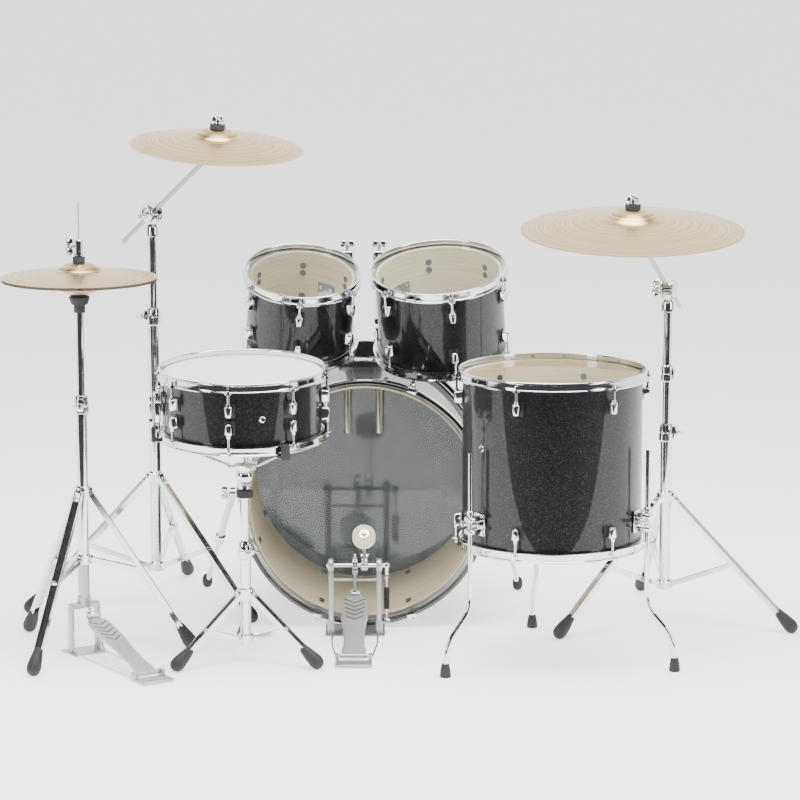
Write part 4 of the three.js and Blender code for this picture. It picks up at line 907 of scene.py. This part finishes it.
# --------------------------------------------------------------------- snare basket
# The snare lies in a cradle of three arms bent from steel strip, with black rubber grips at
# their tips. The arms meet on a ball tilter, and a knurled black ring locks them.
hub = SNARE.place.inverted() @ Vector(joints["snare_tilt"]["pos_m"])
lip_ring = SNARE.radius + 0.018 + 0.003
rim_low = -0.140 - 0.013
bm = bmesh.new()
grips = bmesh.new()
bmesh.ops.create_uvsphere(bm, u_segments=32, v_segments=20, radius=0.0205, matrix=Matrix.Translation(hub))
stack(bm, Matrix.Translation(hub), [(0.012, 0.014), (0.023, 0.016), (0.0235, 0.018), (0.0235, 0.027),
                                    (0.022, 0.029), (0.008, 0.031)], 32)
barrel(bm, Matrix.Translation(hub), 0.0085, 0.028, 0.060)
for angle in (180, 300, 60):
    out = spun(angle, "Z")
    start = hub + out @ Vector((0.016, 0, 0.021))
    elbow = hub + out @ Vector((0.034, 0, 0.024))
    shoulder = out @ Vector((lip_ring - 0.026, 0, rim_low - 0.0075))
    tip = out @ Vector((lip_ring + 0.004, 0, rim_low - 0.0072))
    for a, b in ((start, elbow), (elbow, shoulder), (shoulder, tip)):
        strip(bm, a, b, 0.015, 0.0032, 0.0008)
        strip(bm, a, b, 0.0055, 0.0052, 0.0008)
    barrel(bm, along(elbow - out @ Vector((0, 0.010, 0)), elbow), 0.0036, 0, 0.020, 0.0005, 16)
    slab(grips, (0.032, 0.021, 0.0065), out @ at(lip_ring - 0.010, 0, rim_low - 0.0042), 0.0022)
    slab(grips, (0.0085, 0.021, 0.034), out @ at(lip_ring + 0.0045, 0, rim_low + 0.0080), 0.0028)
    slab(grips, (0.012, 0.021, 0.0045), out @ at(lip_ring - 0.0005, 0, rim_low + 0.0235), 0.0018)
make_piece("snare_basket_steel", bm, chrome, "snare_drum", ["snare_stand_basket"], SNARE.place)
make_piece("snare_basket_grips", grips, rubber, "snare_drum", ["snare_stand_basket"], SNARE.place)

SNARE_POST_PLACE = at(*SNARE_XY, 0)
bm = bmesh.new()
stack(bm, SNARE_POST_PLACE, [(0.0085, 0.129), (0.0090, 0.1295), (0.0090, 0.372), (0.0098, 0.374),
                             (0.0098, 0.380)], 32)
stack(bm, SNARE_POST_PLACE, [(0.0100, 0.3995), (0.0135, 0.4010), (0.0135, 0.4080), (0.0100, 0.4088)], 32)
make_piece("snare_post_tube", bm, chrome, "snare_post", ["snare_stand_post"])
bm = bmesh.new()
for k in range(24):
    slab(bm, (0.0016, 0.0030, 0.0165), SNARE_POST_PLACE @ spun(360 * k / 24, "Z") @ at(0.0178, 0, 0.3895),
         0.0004, 1)
stack(bm, SNARE_POST_PLACE, [(0.0165, 0.3805), (0.0178, 0.3815), (0.0178, 0.3975), (0.0165, 0.3985)], 48)
make_piece("snare_lock_ring", bm, black_paint, "snare_post", ["snare_stand_post"])

# --------------------------------------------------------------------------- cymbals
# Cymbals are cast in bronze, hammered, and turned on a lathe whose tool leaves fine rings.
# Each has a raised bell with a hole, and sits between two felts on its stand.
RING_PITCH = 0.0046
RING_WANDER = 0.004
WANDER_LENGTH = 0.0714
HAMMER_MARK = 0.0263
bronze, tree, shader = new_finish("lathed bronze", Metallic=1.0, Roughness=0.3)
split = node(tree, "ShaderNodeSeparateXYZ", {"Vector": own_place(tree)})
flat = node(tree, "ShaderNodeCombineXYZ", {"X": split.outputs["X"], "Y": split.outputs["Y"]})
out_from_hole = node(tree, "ShaderNodeVectorMath", {0: flat.outputs["Vector"]}, operation="LENGTH")
wander = node(tree, "ShaderNodeTexNoise", {"Vector": own_place(tree), "Scale": 1 / WANDER_LENGTH,
                                           "Detail": 2.0})
drift = node(tree, "ShaderNodeMath", {0: wander.outputs["Fac"], 1: RING_WANDER}, operation="MULTIPLY")
ring_place = node(tree, "ShaderNodeMath", {0: out_from_hole.outputs["Value"], 1: drift.outputs["Value"]},
                  operation="ADD")
ring_vector = node(tree, "ShaderNodeCombineXYZ", {"X": ring_place.outputs["Value"]})
rings = node(tree, "ShaderNodeTexNoise", {"Vector": ring_vector.outputs["Vector"], "Scale": 1 / RING_PITCH,
                                          "Detail": 6.0, "Roughness": 0.65})
ring_tone = node(tree, "ShaderNodeValToRGB", {"Fac": rings.outputs["Fac"]})
ring_tone.color_ramp.elements[0].position = 0.38
ring_tone.color_ramp.elements[0].color = linear("#86693a")
ring_tone.color_ramp.elements[1].position = 0.62
ring_tone.color_ramp.elements[1].color = linear("#e4cc9b")
tree.links.new(ring_tone.outputs["Color"], shader.inputs["Base Color"])
ring_rough = node(tree, "ShaderNodeMapRange", {"Value": rings.outputs["Fac"], "To Min": 0.2, "To Max": 0.42})
tree.links.new(ring_rough.outputs["Result"], shader.inputs["Roughness"])
hammer = node(tree, "ShaderNodeTexNoise", {"Vector": own_place(tree), "Scale": 1 / HAMMER_MARK,
                                           "Detail": 1.0})
dents = node(tree, "ShaderNodeBump", {"Height": hammer.outputs["Fac"], "Strength": 0.12, "Distance": 0.002})
grooves = node(tree, "ShaderNodeBump", {"Height": rings.outputs["Fac"], "Normal": dents.outputs["Normal"],
                                        "Strength": 0.35, "Distance": 0.0005})
tree.links.new(grooves.outputs["Normal"], shader.inputs["Normal"])

CYMBAL_THICKNESS = 0.0016


def cymbal_profile(radius, bell, bow, bell_height):
    """The upper face from the hole out: a domed bell, a step down, and a long bow."""
    top = bow + bell_height
    upper = [(0.0065, top - 0.0002), (0.015, top - 0.0004)]
    for k in range(1, 9):
        t = k / 8
        upper.append((0.019 + (bell - 0.019) * t, top - 0.0006 - (bell_height - 0.0006) * (t ** 1.7)))
    for k in range(1, 13):
        t = k / 12
        upper.append((bell + (radius - bell) * t, bow * (1 - t ** 1.35)))
    lower = [(r, max(z - CYMBAL_THICKNESS, 0)) for r, z in reversed(upper[:-1])]
    return upper + lower


def leaning(joint):
    """The place of a cymbal whose hole lies on a joint's axis."""
    axis = Vector(joint["axis"]).normalized()
    lean = Vector((0, 0, 1)).rotation_difference(axis)
    return Matrix.Translation(joint["pos_m"]) @ lean.to_matrix().to_4x4()


HIHAT_PLACE = at(*HIHAT_XY, 0)
LOWER_CYMBAL_Z = 0.865
UPPER_CYMBAL_Z = 0.871
HIHAT_BOW = 0.014
HIHAT_BELL = 0.020
CYMBALS = [
    ("crash_cymbal", "crash_cymbal", leaning(joints["crash_cymbal_spin"]), (0.2032, 0.058, 0.022, 0.022)),
    ("ride_cymbal", "ride_cymbal", leaning(joints["ride_cymbal_spin"]), (0.254, 0.066, 0.026, 0.026)),
    ("hihat_top_cymbal", "hihat_rod", HIHAT_PLACE @ at(0, 0, UPPER_CYMBAL_Z),
     (0.1778, 0.055, HIHAT_BOW, HIHAT_BELL)),
    ("hihat_bottom_cymbal", "hihat_top_section",
     HIHAT_PLACE @ at(0, 0, LOWER_CYMBAL_Z) @ spun(180, "X"),
     (0.1778, 0.055, HIHAT_BOW, HIHAT_BELL)),
]
for name, body, place, sizes in CYMBALS:
    bm = bmesh.new()
    turn(bm, cymbal_profile(*sizes), steps=160)
    make_piece(name + "_bronze", bm, bronze, body, [name], place, 60)

# Pressed grey felt: dull, with a fibrous surface and the ribs of the cutting die.
FELT_FIBRE = 0.00071
grey_felt, tree, shader = new_finish("pressed grey wool felt", Roughness=0.95)
relief(tree, shader, mottle(tree, shader, FELT_FIBRE, "#2e2f31", "#55575a", 5.0), 0.6, 0.0006)

# ---------------------------------------------------------------------- cymbal booms
# A solid steel boom slides through a round ratchet tilter on top of each stand. Its end
# carries a second small tilter, a pin with felts, a washer and a wing nut.
PIN_LENGTH = 0.046  # from the small tilter up to the cymbal's hole
BOOMS = {
    # name: stand, pivot height, tube foot, tail length, bow plus bell, seam collar
    "crash": (CRASH_XY, 0.958, 0.559, 0.150, 0.044, None),
    "ride": (RIDE_XY, 0.802, 0.309, 0.128, 0.052, 0.600),
}
for name, (xy, pivot_z, tube_low, behind, bell_top, seam) in BOOMS.items():
    place = at(*xy, 0)
    pivot = Vector((*xy, pivot_z))
    seat = leaning(joints[name + "_cymbal_spin"])
    reach = seat.translation - pivot
    level = Vector((reach.x, reach.y, 0)).normalized()
    across = level.cross(Vector((0, 0, 1)))
    bm = bmesh.new()
    neck = pivot_z - 0.030
    stack(bm, place, [(0.0100, tube_low), (0.0104, tube_low + 0.0005), (0.0104, neck - 0.010)], 32)
    stack(bm, place, [(0.0130, neck - 0.026), (0.0160, neck - 0.024), (0.0160, neck - 0.004), (0.0140, neck),
                      (0.0120, neck + 0.005)], 32)
    if seam:
        stack(bm, place, [(0.0120, seam - 0.020), (0.0155, seam - 0.017), (0.0155, seam - 0.002),
                          (0.0140, seam), (0.0140, seam + 0.017), (0.0115, seam + 0.020)], 32)
        clamp_side = at(*xy, seam) @ spun(-20, "Z")
        slab(bm, (0.008, 0.012, 0.026), clamp_side @ at(0.0145, 0, 0), 0.002)
    for side in (-1, 1):
        cheek = along(pivot + across * side * 0.0098, pivot + across * side * 0.03)
        stack(bm, cheek, [(0.0215, 0), (0.0220, 0.0006), (0.0220, 0.0050), (0.0195, 0.0068),
                          (0.0080, 0.0075)], 40)
        for k in range(30):
            slab(bm, (0.0016, 0.0022, 0.0050), cheek @ spun(360 * k / 30, "Z") @ at(0.0218, 0, 0.0028),
                 0.0003, 1)
        strip(bm, Vector((*xy, neck)) + across * side * 0.0135, pivot + across * side * 0.0135, 0.0045, 0.016)
    wing_bolt(bm, along(pivot + across * 0.014, pivot + across * 0.03), 0.010, 0.044, 0.006)
    make_piece(name + "_tube_and_tilter", bm, chrome, name + "_tube", [name + "_tube"])

    normal = seat.to_3x3() @ Vector((0, 0, 1))
    under_bell = bell_top - 0.002 - 0.0003
    pin_foot = seat.translation + normal * (under_bell - PIN_LENGTH)
    direction = (pin_foot - pivot).normalized()
    bm = bmesh.new()
    tube(bm, [pivot - direction * behind, pivot - direction * (behind - 0.0008), pin_foot], 0.0060, 24)
    make_piece(name + "_boom_rod", bm, brushed, name + "_boom", [name + "_boom"])
    bm = bmesh.new()
    barrel(bm, along(pivot - across * 0.0086, pivot), 0.0165, 0, 0.0172, 0.001, 36)
    knuckle = along(pin_foot - across * 0.0085, pin_foot)
    barrel(bm, knuckle, 0.0115, 0, 0.017, 0.001, 32)
    wing_bolt(bm, along(pin_foot + across * 0.007, pin_foot + across * 0.02), 0.006, 0.026, 0.004)
    up = along(pin_foot, pin_foot + normal)
    barrel(bm, up, 0.0040, 0, 0.0805)
    thread = [(0.0036 if k % 2 else 0.0041, 0.064 + 0.0008 * k) for k in range(19)]
    stack(bm, up, thread, 16)
    base = PIN_LENGTH - 0.012
    stack(bm, up, [(0.0075, base - 0.008), (0.0175, base - 0.0025), (0.0180, base - 0.0005),
                   (0.0120, base)], 32)
    top = PIN_LENGTH + 0.0023
    stack(bm, up, [(0.0160, top + 0.0122), (0.0172, top + 0.0126), (0.0172, top + 0.0140),
                   (0.0060, top + 0.0145)], 32)
    wing_bolt(bm, up @ at(0, 0, top + 0.012) @ spun(22.92, "Z"), 0.004, 0.030)
    make_piece(name + "_boom_joint_and_pin", bm, chrome, name + "_boom", [name + "_boom"])
    bm = bmesh.new()
    stack(bm, up, [(0.0160, base), (0.0176, base + 0.001), (0.0176, base + 0.0105),
                   (0.0160, base + 0.0118)], 32)
    ribs = [(0.0180 if k % 2 else 0.0172, top + 0.0003 + 0.0115 * k / 8) for k in range(9)]
    stack(bm, up, ribs, 32)
    make_piece(name + "_felts", bm, grey_felt, name + "_boom", [name + "_boom"])

# ---------------------------------------------------------------------------- hi-hat
# A pull rod runs down inside the stand and closes the upper cymbal on the lower one. The
# clutch grips the rod with a wing bolt; the lower cymbal lies on a felt on a moulded cup.
FELT_GAP = 0.0003
CUP_TOP = LOWER_CYMBAL_Z - HIHAT_BOW - HIHAT_BELL - FELT_GAP
bm = bmesh.new()
stack(bm, HIHAT_PLACE, [(0.0086, 0.420), (0.0090, 0.4205), (0.0090, CUP_TOP - 0.020)], 32)
make_piece("hihat_upper_tube_steel", bm, chrome, "hihat_top_section", ["hihat_upper_tube"])
bm = bmesh.new()
stack(bm, HIHAT_PLACE, [(0.0125, CUP_TOP - 0.040), (0.0130, CUP_TOP - 0.039), (0.0130, CUP_TOP - 0.023),
                    (0.0185, CUP_TOP - 0.021), (0.0235, CUP_TOP - 0.008), (0.0240, CUP_TOP - 0.004),
                    (0.0230, CUP_TOP - 0.0032)], 40)
make_piece("hihat_seat_cup", bm, rubber, "hihat_top_section", ["hihat_upper_tube"])
bm = bmesh.new()
stack(bm, HIHAT_PLACE, [(0.0180, CUP_TOP - 0.0032), (0.0190, CUP_TOP - 0.0026), (0.0180, CUP_TOP - 0.0002)],
      40)
make_piece("hihat_seat_felt", bm, grey_felt, "hihat_top_section", ["hihat_upper_tube"])

bm = bmesh.new()
stack(bm, HIHAT_PLACE, [(0.0026, 0.4005), (0.0032, 0.4012), (0.0032, 1.0415), (0.0026, 1.0428)], 16)
make_piece("hihat_pull_rod_steel", bm, chrome, "hihat_rod", ["hihat_pull_rod"])
CLUTCH_LOW = UPPER_CYMBAL_Z + HIHAT_BOW + HIHAT_BELL + FELT_GAP
bm = bmesh.new()
stack(bm, HIHAT_PLACE, [(0.0070, CLUTCH_LOW + 0.0135), (0.0140, CLUTCH_LOW + 0.0140),
                        (0.0140, CLUTCH_LOW + 0.0165), (0.0105, CLUTCH_LOW + 0.0170),
                        (0.0105, CLUTCH_LOW + 0.0215), (0.0085, CLUTCH_LOW + 0.0220),
                        (0.0085, CLUTCH_LOW + 0.0260), (0.0092, CLUTCH_LOW + 0.0265),
                        (0.0092, CLUTCH_LOW + 0.0500), (0.0080, CLUTCH_LOW + 0.0515)], 32)
clutch_side = at(0, 0, CLUTCH_LOW + 0.036) @ spun(165, "Z")
wing_bolt(bm, HIHAT_PLACE @ clutch_side @ at(0.008, 0, 0) @ spun(90, "Y"), 0.008, 0.042, 0.005)
make_piece("hihat_clutch_steel", bm, chrome, "hihat_rod", ["hihat_clutch"])
bm = bmesh.new()
stack(bm, HIHAT_PLACE, [(0.0145 if k % 2 else 0.0138, CLUTCH_LOW + 0.0002 + 0.0132 * k / 8)
                        for k in range(9)], 32)
make_piece("hihat_clutch_felt", bm, grey_felt, "hihat_rod", ["hihat_clutch"])

# ---------------------------------------------------------------------------- pedals
# Both pedals have a footboard cast in aluminium, hinged on a heel plate. Two bent spring
# wires tie each heel plate to its frame, and a roller chain pulls from the board's toe.

# Tumbling leaves cast aluminium pale and even, with a grit of about a millimetre.
TUMBLE_GRIT = 0.00118
cast_alloy, tree, shader = new_finish("tumbled cast aluminium", Metallic=0.9, Roughness=0.42)
relief(tree, shader, mottle(tree, shader, TUMBLE_GRIT, "#a3a5a7", "#c9cbcc", 4.0), 0.25, 0.0003)

BOARD_OUTLINE = [(0.0, 0.90), (0.10, 0.90), (0.16, 0.76), (0.42, 0.80), (0.60, 1.0), (0.84, 1.0),
                 (0.95, 0.56), (1.0, 0.44)]


def half_width(share, widest):
    for (a, wa), (b, wb) in zip(BOARD_OUTLINE, BOARD_OUTLINE[1:]):
        if share <= b:
            return widest * (wa + (wb - wa) * (share - a) / (b - a))
    return widest * BOARD_OUTLINE[-1][1]


def add_footboard(name, body, cad_node, place, length, widest, barrel_half):
    """A footboard that lies along +Y of its place, from the hinge to the toe."""
    thickness = 0.0055
    bm = bmesh.new()
    made = bmesh.ops.create_grid(bm, x_segments=6, y_segments=40, size=1)
    for vert in made["verts"]:
        share = (vert.co.y + 1) / 2
        vert.co = Vector((vert.co.x * half_width(share, widest), share * length, thickness / 2))
    bmesh.ops.solidify(bm, geom=bm.faces[:], thickness=thickness)
    bmesh.ops.recalc_face_normals(bm, faces=bm.faces)
    rim = [e for e in bm.edges if len(e.link_faces) == 2 and e.calc_face_angle(0) > 1]
    bmesh.ops.bevel(bm, geom=rim, offset=0.0012, segments=2, profile=0.5, affect="EDGES", material=-1)
    barrel(bm, at(-barrel_half, 0, 0) @ spun(90, "Y"), 0.0055, 0, 2 * barrel_half)
    for side in (-1, 1):
        slab(bm, (0.0028, length * 0.80, 0.0045), at(side * widest * 0.62, length * 0.46, -0.004), 0.0008)
    make_piece(name + "_casting", bm, cast_alloy, body, [cad_node], place)
    # The chevron grooves are not cut into the board: thin black strips laid on its top paint the shade inside
    # them.
    bm = bmesh.new()
    for row in range(5):
        tip = Vector((0, length * (0.56 + 0.066 * row), thickness / 2))
        for side in (-1, 1):
            wing_end = tip + Vector((side * widest * (0.68 + 0.03 * row), length * 0.058, 0))
            middle = (tip + wing_end) / 2
            turn_by = math.atan2(wing_end.y - tip.y, wing_end.x - tip.x)
            slab(bm, ((wing_end - tip).length, 0.0030, 0.0007),
                 Matrix.Translation(middle) @ Matrix.Rotation(turn_by, 4, "Z"), 0.0002, 1)
    make_piece(name + "_painted_groove_shade", bm, black_paint, body, [cad_node], place)
    bm = bmesh.new()
    slab(bm, (0.024, 0.020, 0.008), at(0, length - 0.006, thickness / 2 + 0.003), 0.002)
    barrel(bm, at(0, length - 0.006, thickness / 2 + 0.006), 0.004, 0, 0.004, steps=6)
    make_piece(name + "_chain_clip", bm, chrome, body, [cad_node], place)


def add_chain(bm, points):
    """Roller chain: pairs of side plates with rollers between them."""
    for start, end in zip(points, points[1:]):
        step = end - start
        middle = Matrix.Translation((start + end) / 2) @ along(Vector(), step).to_3x3().to_4x4()
        for side in (-1, 1):
            slab(bm, (0.0009, 0.0052, step.length * 1.35), middle @ at(side * 0.0026, 0, 0), 0.0003, 1)
        barrel(bm, Matrix.Translation(start - Vector((0.0032, 0, 0))) @ spun(90, "Y"), 0.0021, 0, 0.0064,
               0.0003, 10)


def add_heel(bm, half, heel_y, heel_length, heel_z):
    """Heel plate with a raised edge and two hinge ears."""
    slab(bm, (2 * half, heel_length - 0.011, 0.0085), at(0, heel_y - (heel_length + 0.011) / 2, 0.00425),
         0.0032, 3)
    slab(bm, (1.5 * half, 0.012, 0.0025), at(0, heel_y - heel_length + 0.014, 0.0094), 0.001)
    for side in (-1, 1):
        slab(bm, (0.0085, 0.024, 0.021), at(side * (half - 0.0045), heel_y - 0.004, 0.0106), 0.0035, 3)
        barrel(bm, at(side * half, heel_y, heel_z) @ spun(side * 90, "Y"), 0.0035, -0.001, 0.0012)


def wires_between(bm, half, frame_y, heel_y, heel_half):
    for side in (-1, 1):
        route = [Vector((side * half, frame_y, 0.020)), Vector((side * (half - 0.002), frame_y - 0.020,
                                                                0.004)),
                 Vector((side * (half - 0.003), frame_y - 0.110, 0.0035)),
                 Vector((side * (heel_half - 0.004), heel_y - 0.012, 0.0045)),
                 Vector((side * (heel_half - 0.004), heel_y - 0.030, 0.0045))]
        tube(bm, rounded(route, 0.014), 0.0026, 12)


# ------------------------------------------------------------------------ kick pedal
# The beater swings on an axle between two posts. Its felt head is pressed wool, and a coil
# spring at the player's right pulls it back from the drum.
KICK_PLACE = at(-0.022, 0, 0)
AXLE = Vector((0, -0.070, 0.165))
KICK_HEEL_Y = -0.345
KICK_HEEL_Z = 0.015
bm = bmesh.new()
slab(bm, (0.140, 0.119, 0.0038), at(0, -0.040, 0.0019), 0.001)
for side in (-1, 1):
    slab(bm, (0.0115, 0.019, 0.150), at(side * 0.056, -0.070, 0.077), 0.0030, 3)
    slab(bm, (0.0165, 0.030, 0.034), at(side * 0.0565, -0.068, 0.018), 0.004, 3)
    stack(bm, at(side * 0.0495, *AXLE.yz) @ spun(side * 90, "Y"),
          [(0.0105, 0), (0.0150, 0.001), (0.0165, 0.003), (0.0165, 0.011), (0.0145, 0.0132),
           (0.0070, 0.0136)], 36)
tube(bm, [Vector((-0.051, -0.070, 0.1305)), Vector((0.0, -0.070, 0.1305)), Vector((0.051, -0.070, 0.1305))],
     0.0032)
add_heel(bm, 0.042, KICK_HEEL_Y, 0.058, KICK_HEEL_Z)
slab(bm, (0.024, 0.016, 0.0055), at(0.0705, -0.070, 0.029), 0.0015)
make_piece("kick_frame_casting", bm, cast_alloy, "kit_base", ["kick_pedal_frame"], KICK_PLACE)
bm = bmesh.new()
wires_between(bm, 0.0560, -0.072, KICK_HEEL_Y, 0.042)
for side in (-1, 1):
    stack(bm, at(side * 0.0640, *AXLE.yz) @ spun(side * 90, "Y"),
          [(0.0085, -0.001), (0.0085, 0.0005), (0.0060, 0.0015)], 6)
barrel(bm, at(0.0775, -0.070, 0.024), 0.0040, 0, 0.012, steps=6)
make_piece("kick_frame_wires", bm, chrome, "kit_base", ["kick_pedal_frame"], KICK_PLACE)
bm = bmesh.new()
slab(bm, (0.040, 0.026, 0.0110), at(0.006, -0.004, 0.0250), 0.003, 3)
slab(bm, (0.026, 0.040, 0.0100), at(0.006, -0.034, 0.0280), 0.003, 3)
make_piece("kick_hoop_clamp", bm, black_paint, "kit_base", ["kick_pedal_frame"], KICK_PLACE)

board_rise = math.atan2(0.108 - KICK_HEEL_Z, -0.108 - KICK_HEEL_Y)
board_place = KICK_PLACE @ at(0, KICK_HEEL_Y, KICK_HEEL_Z) @ Matrix.Rotation(board_rise, 4, "X")
add_footboard("kick_footboard", "kick_footboard", "kick_pedal_footboard", board_place, 0.2546, 0.031, 0.0320)
bm = bmesh.new()
chain_low = Vector((0, -0.106, 0.117))
chain_high = Vector((0, -0.0985, 0.163))
add_chain(bm, [chain_low.lerp(chain_high, k / 7) for k in range(8)])
make_piece("kick_chain_straight", bm, brushed, "kick_footboard", ["kick_pedal_footboard"],
           KICK_PLACE)

SWING = Matrix.Translation(AXLE)
beater_lean = math.radians(50)
shaft = SWING @ at(0.022, 0, 0) @ Matrix.Rotation(beater_lean, 4, "X")
across_x = spun(90, "Y")
bm = bmesh.new()
barrel(bm, SWING @ across_x, 0.0049, -0.067, 0.080, 0.0006, 24)
stack(bm, SWING @ across_x, [(0.0120, -0.0062), (0.0225, -0.0060), (0.0240, -0.0052), (0.0222, -0.0036),
                             (0.0222, 0.0036), (0.0240, 0.0052), (0.0225, 0.0060), (0.0120, 0.0062)], 48)
barrel(bm, SWING @ at(0.022, 0, 0) @ across_x, 0.0128, -0.0085, 0.0085, 0.0015, 32)
slab(bm, (0.015, 0.015, 0.030), shaft @ at(0, 0, 0.010), 0.003, 3)
barrel(bm, shaft, 0.0039, -0.026, 0.150, 0.0008, 20)
wing_bolt(bm, shaft @ at(0, 0.006, 0.014) @ spun(-90, "X"), 0.004, 0.018, 0.004)
felt_place = shaft @ at(0, 0, 0.143)
stack(bm, felt_place, [(0.0100, 0.0120), (0.0118, 0.0124), (0.0118, 0.0136), (0.0095, 0.0143),
                       (0.0062, 0.0134), (0.0062, 0.0160), (0.0050, 0.0178), (0.0026, 0.0188)], 32)
slab(bm, (0.0085, 0.015, 0.030), SWING @ at(0.074, 0, -0.008), 0.003, 3)
make_piece("kick_beater_axle", bm, chrome, "kick_beater", ["kick_pedal_beater"], KICK_PLACE)
bm = bmesh.new()
wrap_points = [AXLE + Vector((0, 0.0255 * math.cos(a), 0.0255 * math.sin(a)))
               for a in [math.radians(180 - 14.5 * k) for k in range(9)]]
add_chain(bm, wrap_points)
make_piece("kick_chain_on_sprocket", bm, brushed, "kick_beater", ["kick_pedal_beater"], KICK_PLACE)

# The beater's felt is uncoloured wool, pressed hard, with a short nap.
WOOL_NAP = 0.00091
cream_felt, tree, shader = new_finish("pressed cream wool felt", Roughness=0.95)
relief(tree, shader, mottle(tree, shader, WOOL_NAP, "#cfc3a2", "#efe6cd", 5.0), 0.5, 0.0006)
bm = bmesh.new()
stack(bm, felt_place, [(0.0080, -0.0128)] + arc((0.0234, -0.0098), 0.0030, -90, 0, 5)
      + arc((0.0224, 0.0088), 0.0040, 0, 90, 6) + [(0.0110, 0.0127)], 64)
make_piece("kick_beater_felt", bm, cream_felt, "kick_beater", ["kick_pedal_beater"], KICK_PLACE)

bm = bmesh.new()
SPRING_X = 0.074
coil = [Vector((SPRING_X + 0.0058 * math.cos(k * math.tau / 12),
                -0.070 + 0.0058 * math.sin(k * math.tau / 12), 0.0600 + 0.052 * k / (12 * 17)))
        for k in range(12 * 17 + 1)]
tube(bm, coil, 0.00135, 6)
make_piece("kick_spring_coil", bm, black_paint, "kit_base", ["kick_pedal_spring"], KICK_PLACE)
bm = bmesh.new()
for low, high in ((0.034, 0.061), (0.111, 0.137)):
    tube(bm, [Vector((SPRING_X, -0.070, low)), Vector((SPRING_X, -0.070, (low + high) / 2)),
              Vector((SPRING_X, -0.070, high))], 0.0014, 10)
for z in (0.0365, 0.135):
    turned_ring = at(SPRING_X, -0.070, z) @ spun(90, "X")
    ring_points = [turned_ring @ Vector((0.0042 * math.cos(a), 0.0042 * math.sin(a), 0))
                   for a in [math.tau * k / 20 for k in range(20)]]
    tube(bm, ring_points, 0.0012, 8)
make_piece("kick_spring_hooks", bm, chrome, "kit_base", ["kick_pedal_spring"], KICK_PLACE)

# ---------------------------------------------------------------------- hi-hat pedal
# The hi-hat's cast frame carries the stand's tube on a bridge over the toe of its board.
# A short roller chain joins the board's toe to the pull rod inside the tube.
HIHAT_HEEL_Y = -0.300
HIHAT_HEEL_Z = 0.014
PEDAL_PLACE = HIHAT_PLACE @ spun(32.6, "Z")
bm = bmesh.new()
slab(bm, (0.088, 0.069, 0.0038), at(0, 0, 0.0019), 0.001)
for side in (-1, 1):
    slab(bm, (0.0095, 0.018, 0.108), at(side * 0.034, 0, 0.056), 0.0028, 3)
slab(bm, (0.075, 0.019, 0.0135), at(0, 0, 0.111), 0.004, 3)
stack(bm, Matrix(), [(0.0125, 0.110), (0.0165, 0.118), (0.0150, 0.132), (0.0130, 0.134), (0.0130, 0.215)], 32)
add_heel(bm, 0.039, HIHAT_HEEL_Y, 0.054, HIHAT_HEEL_Z)
make_piece("hihat_frame_casting", bm, cast_alloy, "kit_base", ["hihat_base"], PEDAL_PLACE)
bm = bmesh.new()
wires_between(bm, 0.0375, -0.012, HIHAT_HEEL_Y, 0.039)
make_piece("hihat_frame_wires", bm, chrome, "kit_base", ["hihat_base"], PEDAL_PLACE)
hihat_rise = math.atan2(0.092 - HIHAT_HEEL_Z, -0.034 - HIHAT_HEEL_Y)
hihat_board = PEDAL_PLACE @ at(0, HIHAT_HEEL_Y, HIHAT_HEEL_Z) @ Matrix.Rotation(hihat_rise, 4, "X")
add_footboard("hihat_footboard", "hihat_footboard", "hihat_footboard", hihat_board, 0.2772, 0.028, 0.0290)
bm = bmesh.new()
add_chain(bm, [Vector((0, -0.030, 0.0985)).lerp(Vector((0, -0.001, 0.150)), k / 7) for k in range(8)])
make_piece("hihat_chain", bm, brushed, "hihat_footboard", ["hihat_footboard"], PEDAL_PLACE)
